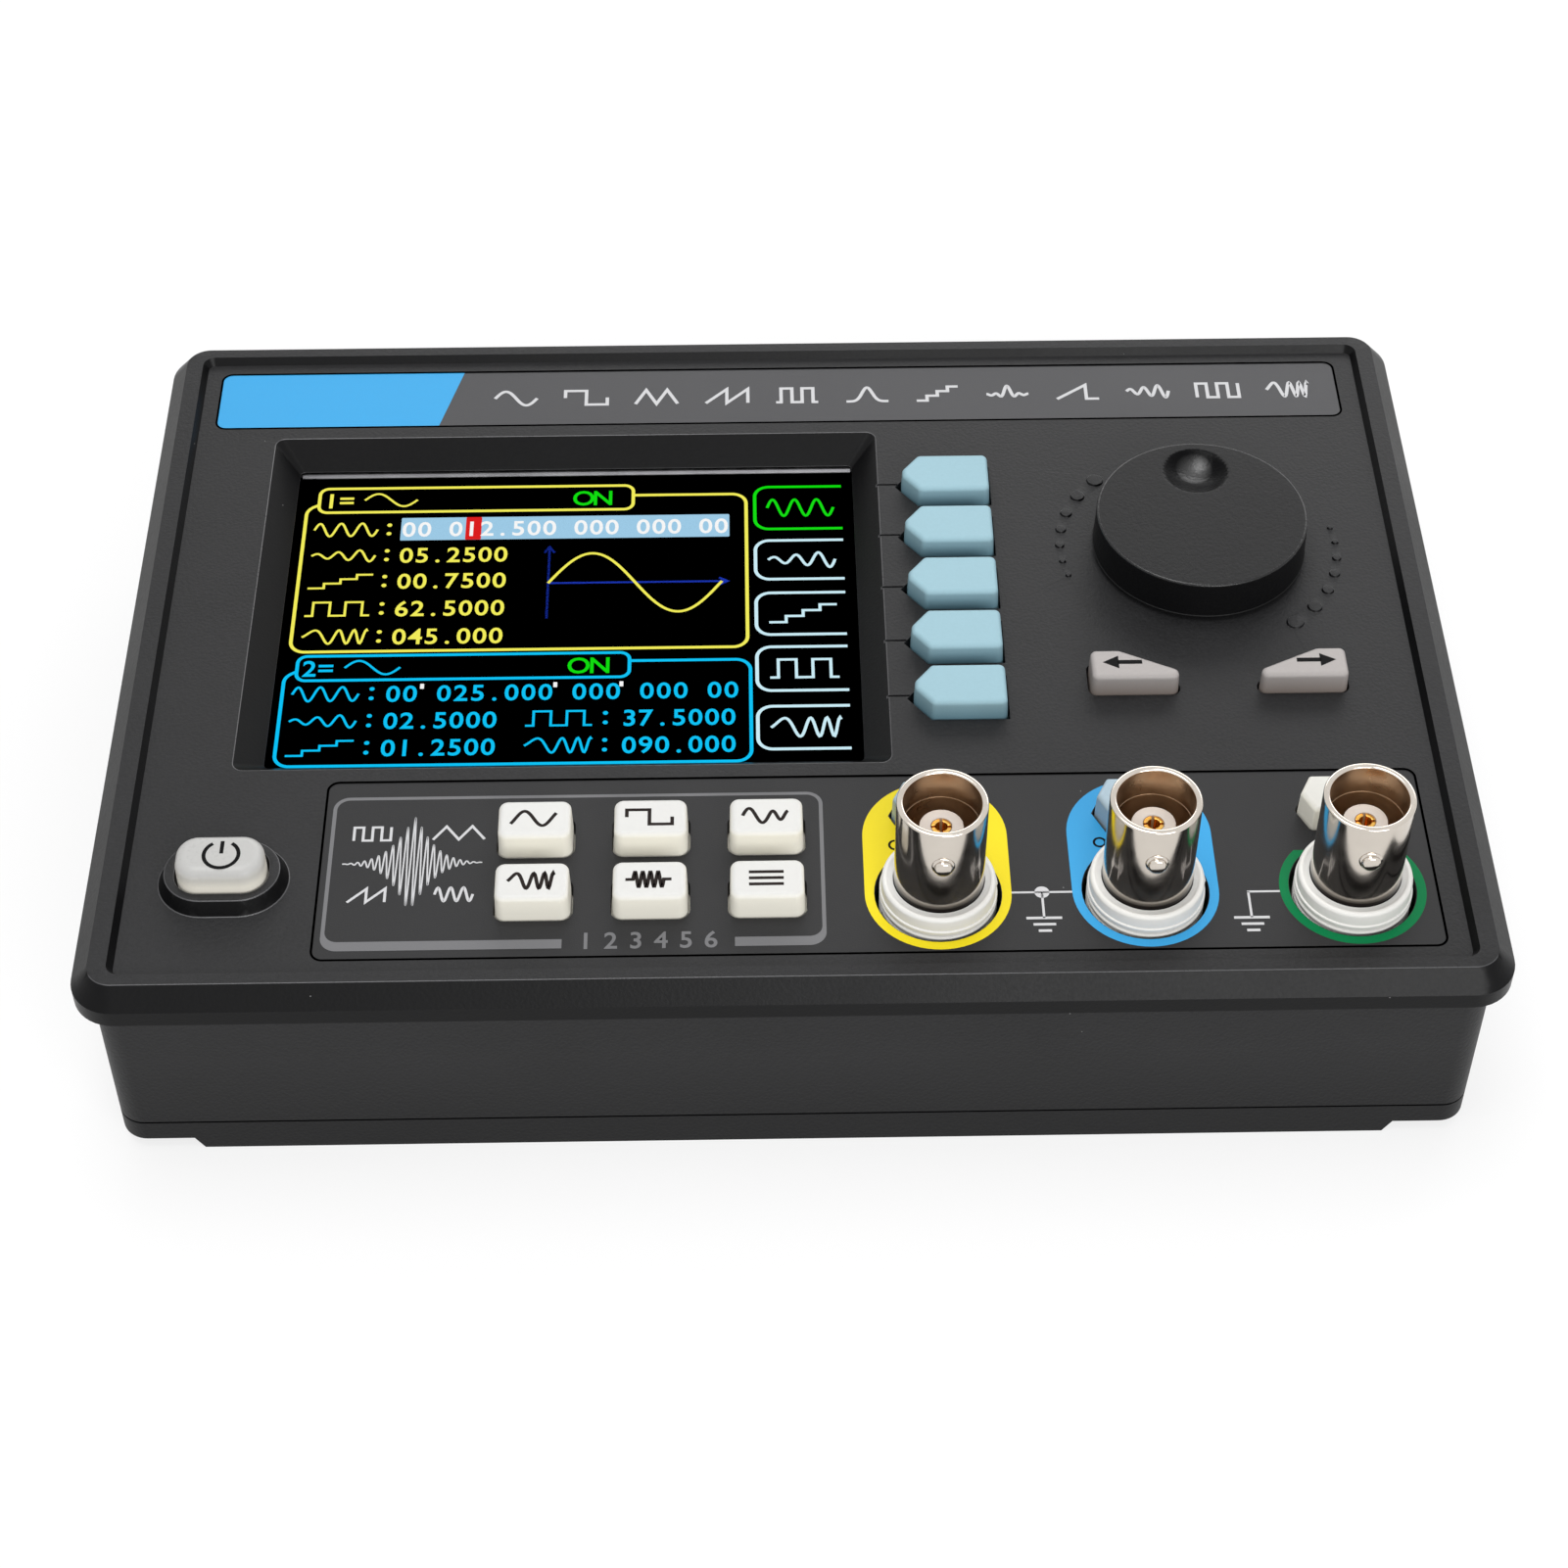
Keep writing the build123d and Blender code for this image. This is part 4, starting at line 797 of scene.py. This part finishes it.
def grown(name, tree, inputs):
    # Runs a Geometry Nodes tree with its inputs set, and returns the mesh that it makes.
    holder = newObject(name, bpy.data.meshes.new(name))
    modifier = holder.modifiers.new(name, "NODES")
    modifier.node_group = tree
    for item in tree.interface.items_tree:
        if item.in_out == "INPUT":
            modifier[item.identifier] = inputs[item.name]
    return meshOf(holder)


threadInputs = inMetres(threadSet, "Radius", "Height", "Ridge")
thread = threadTree(threadInputs)
for i, socketSpot in enumerate(socketSpots, 1):
    parts = ("barrel", "base", "dielectric", "contact")
    barrel, base, dielectric, contact = (f"bnc_{i}_{part}" for part in parts)
    angle = socketSet["turnAngle"]
    barrelSkin = dress(barrel, f"bnc{i}Barrel", "nickel", "nickel", barrelMesh(barrel), turnAngle=angle)
    barrelSkin.data.materials.append(paints["nickelShadedInside"])
    # Faces inside the bore take the painted shade of the bore's nickel.
    for face in barrelSkin.data.polygons:
        outwards = face.center.xy / mm - socketSpot
        inward = face.normal.xy.dot(outwards) < socketSet["inward"]
        face.material_index = int(inward and outwards.length < socketSet["bore"] + socketSet["slack"])
    dress(base, f"bnc{i}Base", "socket_white", "nylon", baseMesh(base), turnAngle=angle)
    dress(dielectric, f"bnc{i}Dielectric", "dielectric_white", "fluoro",
          softCopy(dielectric, [(everywhere, socketSet["dielectricEdge"])]), outward=False)
    dress(contact, f"bnc{i}Contact", "gold", "gold",
          softCopy(contact, [(everywhere, socketSet["contactEdge"])]), outward=False)
    ridge = grown(f"bnc{i}Thread", thread, threadInputs)
    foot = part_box(base)[1].z - baseSet["threadDrop"] * mm - threadInputs["Height"]
    ridge.transform(Matrix.Translation((socketSpot.x * mm, socketSpot.y * mm, foot)))
    addPiece(f"bnc{i}Thread", ridge, "case", turnAngle=baseSet["threadTurnAngle"])
print("sockets finished")

# Marks: printed strokes and patches a few hundredths thick, each set in one colour.
skin = {"sink": 0.005, "rise": 0.012}


def printMarks(name, slotName, colour, level, strokes=(), fills=(), words=(), body="case"):
    # strokes are (path, width, closed), fills (outline, holes), words (text, left, bottom, height, pitch).
    low, high = level - skin["sink"], level + skin["rise"]
    mesh = bmesh.new()
    for path, width, closed in strokes:
        addRibbon(mesh, path, width, low, high, closed)
    for outline, holes in fills:
        addPatch(mesh, outline, low, high, holes)
    for text, left, bottom, height, pitch in words:
        addText(mesh, text, left, bottom, height, low, high, pitch)
    settle(name, body, slotName, colour, mesh)


def filmMarks(name, colour, lift=0, **marks):
    printMarks(name, "panel_film", inks[colour], filmTop + lift * skin["rise"], **marks)


def line(width, *path):
    return path, width, False


waves = {
    "sine": lambda t: sin(tau * t),
    "wideSine": lambda t: sin(tau * (1.25 * t - 0.125)),
    "sines": lambda t: sin(3 * tau * t),
    "growing": lambda t: (0.25 + 0.75 * t) * sin(3 * tau * t),
    "chirp": lambda t: sin(tau * (0.75 * t + 2.6 * t * t)),
    "burst": lambda t: sin(6 * tau * t) if 1 / 6 < t < 5 / 6 else 0.0,
    "bell": lambda t: 2 * exp(-((t - 0.5) / 0.17) ** 2) - 1,
    "sinc": lambda t: 1.25 * (1 if t == 0.5 else sin(9 * pi * (t - 0.5)) / (9 * pi * (t - 0.5))) - 0.25,
    "free": lambda t: sin(tau * t / 0.58) if t < 0.58 else 0.6 * sin(tau * (t - 0.58) / 0.34),
}
steppedWaves = {
    "square": ((0, 0), (0, 1), (0.5, 1), (0.5, -1), (1, -1), (1, 0)),
    "squares": ((0, -1), (0, 1), (0.25, 1), (0.25, -1), (0.5, -1), (0.5, 1), (0.75, 1), (0.75, -1),
                (1, -1), (1, 1)),
    "pulse": ((0, -1), (0.12, -1), (0.12, 1), (0.38, 1), (0.38, -1), (0.62, -1), (0.62, 1), (0.88, 1),
              (0.88, -1), (1, -1)),
    "triangle": ((0, -1), (0.25, 1), (0.5, -1), (0.75, 1), (1, -1)),
    "saw": ((0, -1), (0.5, 1), (0.5, -1), (1, 1), (1, -1)),
    "stairs": ((0, -1), (0.25, -1), (0.25, -0.3), (0.5, -0.3), (0.5, 0.35), (0.75, 0.35), (0.75, 1), (1, 1)),
    "ramp": ((0, -1), (0.7, 1), (0.7, -1), (1, -1)),
}


def wave(kind, left, middleY, width, height, stroke, steps=60):
    # A waveform sign as one stroke. Its heights run from -1 to 1 over shares of its width.
    if kind in waves:
        rise = waves[kind]
        path = [(left + width * k / steps, middleY + height / 2 * rise(k / steps)) for k in range(steps + 1)]
    else:
        path = [(left + width * x, middleY + height / 2 * y) for x, y in steppedWaves[kind]]
    return line(stroke, *path)


# Header film: blue end with a slanted edge, then a row of plain waveform signs.
headerSet = {"blueTop": 30.0, "blueFoot": 27.3, "corner": 1.1, "signWidth": 5.2, "signTall": 2.6,
             "stroke": 0.42, "first": 34.0, "last": 3.5}
headerLow, headerHigh = corners("header_label")
headerTop = headerHigh.z
headerMiddle = (headerLow.y + headerHigh.y) / 2
corner = headerSet["corner"]
blueEnd = [(headerLow.x + headerSet["blueTop"], headerHigh.y)]
blueEnd += arc((headerLow.x + corner, headerHigh.y - corner), corner, 90, 180)
blueEnd += arc((headerLow.x + corner, headerLow.y + corner), corner, 180, 270)
blueEnd += [(headerLow.x + headerSet["blueFoot"], headerLow.y)]
printMarks("headerBlue", "header_film", inks["blue"], headerTop, fills=[(blueEnd, ())])
signKinds = ("sine", "square", "triangle", "saw", "pulse", "bell", "stairs", "sinc", "ramp", "growing",
             "squares", "chirp")
firstSign = headerLow.x + headerSet["first"]
signPitch = (headerHigh.x - headerSet["last"] - headerSet["signWidth"] - firstSign) / (len(signKinds) - 1)
signSize = headerSet["signWidth"], headerSet["signTall"], headerSet["stroke"]
signs = [wave(kind, firstSign + signPitch * k, headerMiddle, *signSize) for k, kind in enumerate(signKinds)]
printMarks("headerSigns", "header_film", inks["pale"], headerTop, strokes=signs)
print("header printed")

# Lower film: key frame, wave packet, socket colours and earth signs.
frameSet = {"left": 0.75, "right": 6.2, "bottom": 1.2, "top": 2.2, "radius": 1.8, "line": 0.42, "bar": 1.25,
            "gapLeft": 9.3, "gapRight": 3.5, "numberInset": 1.2, "numberDrop": 0.1, "numberTall": 2.3}
filmLow, filmHigh = corners("lower_label")
lastKey = middle("function_key_6")
boxLeft, boxRight = filmLow.x + frameSet["left"], lastKey.x + frameSet["right"]
boxBottom, boxTop = filmLow.y + frameSet["bottom"], filmHigh.y - frameSet["top"]
gapStart, gapEnd = middle("function_key_5").x - frameSet["gapLeft"], lastKey.x - frameSet["gapRight"]
barTop = boxBottom + frameSet["bar"]
radius, thin = frameSet["radius"], frameSet["line"]
inner, leftTurn, rightTurn = radius - thin, boxLeft + radius, boxRight - radius
bend, sideFoot = radius - thin / 2, barTop + radius - thin
sides = [(boxLeft + thin / 2, sideFoot)] + arc((leftTurn, boxTop - radius), bend, 180, 90)
sides += arc((rightTurn, boxTop - radius), bend, 90, 0) + [(boxRight - thin / 2, sideFoot)]
leftBar = [(gapStart, boxBottom), (gapStart, barTop)] + arc((leftTurn, barTop + inner), inner, 270, 180)
leftBar += [(boxLeft, barTop + inner)] + arc((leftTurn, boxBottom + radius), radius, 180, 270)
rightBar = [(gapEnd, boxBottom)] + arc((rightTurn, boxBottom + radius), radius, 270, 360)
rightBar += [(boxRight, barTop + inner)] + arc((rightTurn, barTop + inner), inner, 0, -90)
rightBar += [(gapEnd, barTop)]
filmMarks("keyFrame", "grey", strokes=[line(thin, *sides)], fills=[(leftBar, ()), (rightBar, ())])
numbers, inset = "123456", frameSet["numberInset"]
numberPitch = (gapEnd - gapStart - 2 * inset) / len(numbers)
numberSpot = gapStart + inset, boxBottom - frameSet["numberDrop"]
filmMarks("keyNumbers", "grey", words=[(numbers, *numberSpot, frameSet["numberTall"], numberPitch)])

# Black lines round the two films: painted shade in the gaps at the edges of their recesses.
gapShadeSet = {"line": 0.25, "corner": 1.25, "out": 0.05, "lift": 0.06}
for name, level in (("lower_label", filmTop), ("header_label", headerTop)):
    low, high = corners(name)
    out = gapShadeSet["out"]
    loop = roundedBox(low.x - out, low.y - out, high.x + out, high.y + out, gapShadeSet["corner"])
    gap = [(loop, gapShadeSet["line"], True)]
    printMarks(name + "GapShade", "case_plastic", paints["glass"], level + gapShadeSet["lift"], strokes=gap)


def packetTree(inputs):
    # A wave packet drawn by a rule: a line of points, lifted by a windowed cosine, swept into a flat ribbon.
    tree, start, end = newTree("wavePacket", "GeometryNodeTree", inputs, ("Geometry",))

    def calc(*terms):
        return maths(tree, *terms)

    last = calc("SUBTRACT", start["Points"], 1.0)
    step = addNode(tree, "ShaderNodeCombineXYZ", {"X": calc("DIVIDE", start["Length"], last)}).outputs[0]
    row = addNode(tree, "GeometryNodeMeshLine", {"Count": start["Points"], "Offset": step}, mode="OFFSET")
    index = addNode(tree, "GeometryNodeInputIndex").outputs[0]
    share = calc("SUBTRACT", calc("DIVIDE", index, last), 0.5)
    swing = calc("COSINE", calc("MULTIPLY", share, calc("MULTIPLY", start["Waves"], tau)))
    away = calc("DIVIDE", calc("ABSOLUTE", share), start["Window"])
    hump = calc("EXPONENT", calc("MULTIPLY", calc("POWER", away, start["Fall"]), -1.0))
    outward = calc("MULTIPLY", calc("ABSOLUTE", share), 2.0)
    taper = calc("SUBTRACT", 1.0, calc("POWER", outward, start["Taper"]))
    rise = calc("MULTIPLY", calc("MULTIPLY", swing, hump), calc("MULTIPLY", taper, start["Height"]))
    lift = addNode(tree, "ShaderNodeCombineXYZ", {"Y": rise}).outputs[0]
    lifted = addNode(tree, "GeometryNodeSetPosition", {"Geometry": row.outputs["Mesh"], "Offset": lift})
    curve = addNode(tree, "GeometryNodeMeshToCurve", {"Mesh": lifted.outputs["Geometry"]}).outputs["Curve"]
    bandInputs = {"Width": start["Stroke"], "Height": start["Thickness"]}
    band = addNode(tree, "GeometryNodeCurvePrimitiveQuadrilateral", bandInputs).outputs["Curve"]
    closeTree(tree, start, end, sweep(tree, curve, band))
    return tree


packetSet = {"Points": 900, "Length": 15.1, "Height": 6.6, "Waves": 20.5, "Window": 0.155, "Fall": 1.25,
             "Taper": 6.0, "Stroke": 0.17, "Thickness": 0.016, "Finish": inks["pale"]}
packetPlace = {"right": 2.3, "front": 3.45, "lift": 0.004, "signTall": 1.9, "signStroke": 0.3}
packetSigns = (("squares", 3.3, 4.3, 4.0), ("triangle", 11.9, 4.3, 5.6),  # kind, left, up, width
               ("saw", 3.2, -4.5, 4.0), ("sines", 12.5, -4.5, 4.1))
packetLeft, packetMiddle = filmLow.x + packetPlace["right"], middle("function_key_1").y - packetPlace["front"]
packetInputs = inMetres(packetSet, "Length", "Height", "Stroke", "Thickness")
packet = grown("wavePacketPrint", packetTree(packetInputs), packetInputs)
packetLevel = (filmTop + packetPlace["lift"]) * mm
packet.transform(Matrix.Translation((packetLeft * mm, packetMiddle * mm, packetLevel)))
addPiece("wavePacketPrint", packet, "case")
signSize = packetPlace["signTall"], packetPlace["signStroke"]
filmMarks("packetSigns", "pale", strokes=[wave(kind, filmLow.x + left, packetMiddle + up, width, *signSize)
                                          for kind, left, up, width in packetSigns])

# Coloured pads round the sockets. The key's hole is cut from tip, flat and half its depth.
padSet = {"radius": 7.85, "hole": 6.85, "back": 16.0, "front": 7.85, "key": (4.95, 3.5, 2.95), "cut": 5.4}
ringSet = {"left": 4.35, "back": 6.9, "radius": 0.62, "line": 0.26}


def stadium(spot):
    radius = padSet["radius"]
    path = arc((spot.x, spot.y + padSet["back"] - radius), radius, 0, 180, 32)
    return path + arc((spot.x, spot.y + radius - padSet["front"]), radius, 180, 360, 32)


def keyHole(name):
    spot = middle(name)
    tip, flat, half = padSet["key"]
    shape = ((tip, 0), (flat, half), (-flat, half), (-tip, 0), (-flat, -half), (flat, -half))
    return [(spot.x + x, spot.y + y) for x, y in shape]


first, second, third = socketSpots
for name, colour, spot, key in (("padYellow", "yellow", first, "channel_key_1"),
                                ("padBlue", "blue", second, "channel_key_2")):
    filmMarks(name, colour, fills=[(stadium(spot), (circle(spot, padSet["hole"]), keyHole(key)))])
outerTurn, innerTurn = (degrees(asin(padSet["cut"] / padSet[key])) for key in ("radius", "hole"))
ring = arc(third, padSet["radius"], 180 - outerTurn, 360 + outerTurn, 64)
ring += arc(third, padSet["hole"], 360 + innerTurn, 180 - innerTurn, 64)
filmMarks("padGreen", "green", fills=[(ring, ())])
ringSpots = [(spot.x - ringSet["left"], spot.y + ringSet["back"]) for spot in (first, second)]
smallRings = [(circle(spot, ringSet["radius"], 24), ringSet["line"], True) for spot in ringSpots]
filmMarks("channelMarks", "black", lift=1, strokes=smallRings)

earthSet = {"line": 0.26, "stem": 3.6, "bars": (3.8, 2.4, 1.4), "barLine": 0.34, "pitch": 0.88, "dot": 0.8,
            "away": 3.4, "front": 0.1, "sideFront": 0.4}


def earth(x, y):
    foot = y - earthSet["stem"]
    strokes = [line(earthSet["line"], (x, y), (x, foot))]
    for k, width in enumerate(earthSet["bars"]):
        low = foot - k * earthSet["pitch"]
        strokes.append(line(earthSet["barLine"], (x - width / 2, low), (x + width / 2, low)))
    return strokes


between = Vector(((first.x + second.x) / 2, first.y - earthSet["front"]))
side, sideLevel = third.x - padSet["radius"], third.y - earthSet["sideFront"]
earthLine, sideStem = earthSet["line"], side - earthSet["away"]
earthStrokes = earth(between.x, between.y) + earth(sideStem, sideLevel)
leftEnd, rightEnd = first.x + padSet["radius"], second.x - padSet["radius"]
earthStrokes.append(line(earthLine, (leftEnd, between.y), (rightEnd, between.y)))
earthStrokes.append(line(earthLine, (side, sideLevel), (sideStem - earthLine / 2, sideLevel)))
filmMarks("earthSigns", "pale", strokes=earthStrokes, fills=[(circle(between, earthSet["dot"], 28), ())])
print("lower film printed")


# Signs on the keys.
def keyMarks(node, name, slotName, colour, **marks):
    printMarks(name, slotName, inks[colour], highest(node), body=nodes[node]["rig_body"], **marks)


keySet = {"width": 4.9, "tall": 2.1, "stroke": 0.4, "back": -0.1, "left": 0.1, "inset": 0.6,
          "bars": (-0.85, 0, 0.85)}
keySigns = ("wideSine", "square", "free", "chirp", "burst", "bars")
for k, kind in enumerate(keySigns, 1):
    name = f"function_key_{k}"
    spot = middle(name)
    left, height = spot.x - keySet["width"] / 2 - keySet["left"], spot.y + keySet["back"]
    if kind == "bars":
        ends = left + keySet["inset"], left + keySet["width"] - keySet["inset"]
        strokes = [line(keySet["stroke"], *((x, height + y) for x in ends)) for y in keySet["bars"]]
    else:
        strokes = [wave(kind, left, height, keySet["width"], keySet["tall"], keySet["stroke"])]
    keyMarks(name, f"functionSign{k}", "key_white", "warmBlack", strokes=strokes)

arrowSet = {"length": 4.45, "line": 0.62, "head": 1.8, "half": 1.0, "inset": 1.35, "back": 0.12,
            "flange": 1.0, "overlap": 0.1}
for name, way in (("arrow_key_left", -1), ("arrow_key_right", 1)):
    low, high = corners(name)
    y = (low.y + high.y) / 2 + arrowSet["back"]
    flange, inset = arrowSet["flange"], arrowSet["inset"]
    tip = (high.x - flange - inset) if way > 0 else (low.x + flange + inset)
    tail = tip - way * arrowSet["length"]
    neck = tip - way * arrowSet["head"]
    head = [(tip, y), (neck, y + arrowSet["half"]), (neck, y - arrowSet["half"])][::way]
    shaft = line(arrowSet["line"], (tail, y), (neck + way * arrowSet["overlap"], y))
    keyMarks(name, name + "Sign", "key_warm_grey", "black", strokes=[shaft], fills=[(head, ())])

powerSet = {"radius": 1.85, "line": 0.42, "gap": 33, "foot": 0.15, "tip": 1.9, "right": 0.3, "front": 0.2}
spot = middle("power_button") + Vector((powerSet["right"], -powerSet["front"]))
powerArc = arc(spot, powerSet["radius"], 90 + powerSet["gap"], 450 - powerSet["gap"], 48)
powerStem = [(spot.x, spot.y + powerSet["foot"]), (spot.x, spot.y + powerSet["tip"])]
keyMarks("power_button", "powerSign", "power_white", "black",
         strokes=[line(powerSet["line"], *path) for path in (powerArc, powerStem)])
print("key signs printed")

# Display picture: two rounded cards, rows of digits, a graph and five tabs, from the middle of the glass.
# A card is left, right, bottom and top, then the same of its tab. head and rows are heights; signs, digits
# and dots are left ends, and on is the left end and pitch of the word in the tab.
screenSet = {"up": 0.38, "line": 0.42, "textLine": 0.3, "tall": 2.6, "corner": 1.7, "tabCorner": 1.1,
             "shoulder": 1.2, "join": 1.1, "joinTurn": 125, "pitch": 1.88, "signWidth": 7.6,
             "headWidth": 6.4, "signShare": 0.86, "dot": 0.3, "dotHeights": (-0.75, 0.75)}
upperSet = {"card": (-32.5, 20.7, -5.69, 20.6, -31.1, 7.0, 18.12, 22.38), "head": 20.25, "headSign": -25.6,
            "headDigits": -30.6, "rows": (15.03, 10.52, 6.07, 1.41, -3.25), "signs": -31.3, "digits": -20.9,
            "dots": -22.3, "on": (-0.2, 2.35)}
lowerSet = {"card": (-32.75, 21.0, -23.85, -7.75, -31.4, 7.0, -10.35, -6.4), "head": -8.35,
            "headSign": -25.9, "headDigits": -30.9, "rows": (-12.55, -16.84, -21.08), "signs": (-31.6, -4.7),
            "digits": (-21.0, 6.2), "longPitch": 1.94, "dots": (-22.5, 4.4), "on": (-0.1, 2.45)}
graphSet = {"left": -2.87, "zero": 5.36, "length": 20.6, "tall": 10.1, "line": 0.36}
screenMiddle = Vector((middle("lcd_frame").x, middle("lcd_frame").y + screenSet["up"]))


def screenMarks(name, colour, lift=0, **marks):
    printMarks(name, "display", glows[colour], glassTop + lift * skin["rise"], **marks)


def onScreen(points):
    return [(screenMiddle.x + x, screenMiddle.y + y) for x, y in points]


def cardStrokes(left, right, bottom, top, tabLeft, tabRight, tabBottom, tabTop):
    # A rounded tab, and the rounded card that starts at its sides.
    bend, width = screenSet["corner"], screenSet["line"]
    shoulder = top - screenSet["shoulder"] - bend
    body = [(tabRight, top)] + arc((right - bend, top - bend), bend, 90, 0)
    body += arc((right - bend, bottom + bend), bend, 0, -90)
    body += arc((left + bend, bottom + bend), bend, 270, 180)
    body += arc((left + bend, shoulder), bend, 180, screenSet["joinTurn"])
    body += [(tabLeft, top - screenSet["join"])]
    tab = roundedBox(tabLeft, tabBottom, tabRight, tabTop, screenSet["tabCorner"])
    return [(onScreen(body), width, False), (onScreen(tab), width, True)]


def row(text, left, middleY, pitch=screenSet["pitch"]):
    tall = screenSet["tall"]
    return text, screenMiddle.x + left, screenMiddle.y + middleY - tall / 2, tall, pitch


def screenWave(kind, left, middleY, width, height, stroke):
    return wave(kind, screenMiddle.x + left, screenMiddle.y + middleY, width, height, stroke)


def rowSign(kind, left, middleY, width=screenSet["signWidth"]):
    height = screenSet["tall"] * screenSet["signShare"]
    return screenWave(kind, left, middleY, width, height, screenSet["textLine"])


def colons(left, rows):
    x = screenMiddle.x + left
    spots = [(x, screenMiddle.y + middleY + y) for middleY in rows for y in screenSet["dotHeights"]]
    return [(circle(spot, screenSet["dot"], 12), ()) for spot in spots]


rowKinds = ("sines", "growing", "stairs", "pulse", "chirp")
upperRows, upperHead = upperSet["rows"], upperSet["head"]
upperNumbers = ("05.2500", "00.7500", "62.5000", "045.000")
upperStrokes = cardStrokes(*upperSet["card"])
upperStrokes += [rowSign(kind, upperSet["signs"], y) for kind, y in zip(rowKinds, upperRows)]
upperStrokes += [rowSign("sine", upperSet["headSign"], upperHead, screenSet["headWidth"])]
upperStrokes += [screenWave("sine", *(graphSet[key] for key in ("left", "zero", "length", "tall", "line")))]
upperWords = [row(text, upperSet["digits"], y) for text, y in zip(upperNumbers, upperRows[1:])]
upperWords += [row("1=", upperSet["headDigits"], upperHead)]
upperDots = colons(upperSet["dots"], upperRows)
screenMarks("screenYellow", "yellow", strokes=upperStrokes, words=upperWords, fills=upperDots)

lowerRows, lowerHead = lowerSet["rows"], lowerSet["head"]
leftDigits, rightDigits = lowerSet["digits"]
leftSigns, rightSigns = lowerSet["signs"]
leftDots, rightDots = lowerSet["dots"]
lowerStrokes = cardStrokes(*lowerSet["card"])
lowerStrokes += [rowSign(kind, leftSigns, y) for kind, y in zip(rowKinds, lowerRows)]
lowerStrokes += [rowSign(kind, rightSigns, y) for kind, y in zip(("pulse", "chirp"), lowerRows[1:])]
lowerStrokes += [rowSign("sine", lowerSet["headSign"], lowerHead, screenSet["headWidth"])]
lowerWords = [row("00 025.000 000 000 00", leftDigits, lowerRows[0], lowerSet["longPitch"])]
lowerWords += [row(text, leftDigits, y) for text, y in zip(("02.5000", "01.2500"), lowerRows[1:])]
lowerWords += [row(text, rightDigits, y) for text, y in zip(("37.5000", "090.000"), lowerRows[1:])]
lowerWords += [row("2=", lowerSet["headDigits"], lowerHead)]
lowerDots = colons(leftDots, lowerRows) + colons(rightDots, lowerRows[1:])
screenMarks("screenCyan", "cyan", strokes=lowerStrokes, words=lowerWords, fills=lowerDots)

# The chosen row's bar with its cursor, and three short ticks above the lower digits.
barSet = {"left": -20.9, "right": 18.66, "low": 13.06, "high": 17.01, "cursor": (-13.1, -11.2),
          "corner": 0.1, "digits": -20.85}
tickSet = {"low": -11.9, "high": -11.1, "width": 0.45, "corner": 0.05, "spots": (-17.0, -1.7, 5.9)}


def screenBox(left, right, size):
    return onScreen(roundedBox(left, size["low"], right, size["high"], size["corner"], 1)), ()


screenMarks("screenBar", "bar", fills=[screenBox(barSet["left"], barSet["right"], barSet)])
screenMarks("screenCursor", "red", lift=1, fills=[screenBox(*barSet["cursor"], barSet)])
barWords = [row("00 012.500 000 000 00", barSet["digits"], upperRows[0])]
ticks = [screenBox(x, x + tickSet["width"], tickSet) for x in tickSet["spots"]]
screenMarks("screenWhite", "white", lift=2, fills=ticks, words=barWords)

# Graph axes with arrow heads.
axisSet = {"line": 0.3, "bottom": -0.6, "top": 11.4, "end": 18.2, "half": 0.6, "upHead": (10.6, 11.6),
           "endHead": (17.4, 18.4)}
axisLeft, axisZero, half = graphSet["left"], graphSet["zero"], axisSet["half"]
foot, tip = axisSet["upHead"]
axes = [[(axisLeft, axisSet["bottom"]), (axisLeft, axisSet["top"])]]
axes += [[(axisLeft, axisZero), (axisSet["end"], axisZero)]]
axes += [[(axisLeft - half, foot), (axisLeft, tip), (axisLeft + half, foot)]]
foot, tip = axisSet["endHead"]
axes += [[(foot, axisZero + half), (tip, axisZero), (foot, axisZero - half)]]
screenMarks("screenAxes", "axis", lift=-1, strokes=[line(axisSet["line"], *onScreen(path)) for path in axes])

tabSet = {"left": 21.75, "right": 32.3, "corner": 1.7, "signInset": 1.5, "sign": (8.0, 2.9, 0.36),
          "spans": ((14.28, 21.77), (5.56, 12.25), (-3.76, 3.22), (-12.88, -5.79), (-22.08, -15.38))}
onWords = [row("ON", card["on"][0], card["head"], card["on"][1]) for card in (upperSet, lowerSet)]
for name, colour, chosen, words in (("screenGreen", "green", (0,), onWords),
                                    ("screenPale", "pale", (1, 2, 3, 4), ())):
    strokes = []
    left, bend = tabSet["left"], tabSet["corner"]
    for k in chosen:
        low, high = tabSet["spans"][k]
        edge = [(tabSet["right"], high)] + arc((left + bend, high - bend), bend, 90, 180)
        edge += arc((left + bend, low + bend), bend, 180, 270) + [(tabSet["right"], low)]
        strokes.append(line(screenSet["line"], *onScreen(edge)))
        strokes.append(screenWave(rowKinds[k], left + tabSet["signInset"], (low + high) / 2, *tabSet["sign"]))
    screenMarks(name, colour, strokes=strokes, words=words)

# A steel strip along the glass's back edge.
stripSet = {"width": 67.0, "line": 0.5, "back": 24.4, "rise": 0.12}
strip = bmesh.new()
stripEnds = onScreen([(-stripSet["width"] / 2, stripSet["back"]), (stripSet["width"] / 2, stripSet["back"])])
addRibbon(strip, stripEnds, stripSet["line"], glassTop - skin["sink"], glassTop + stripSet["rise"])
settle("displayStrip", "case", "steel", paints["steel"], strip)
print("display lit")
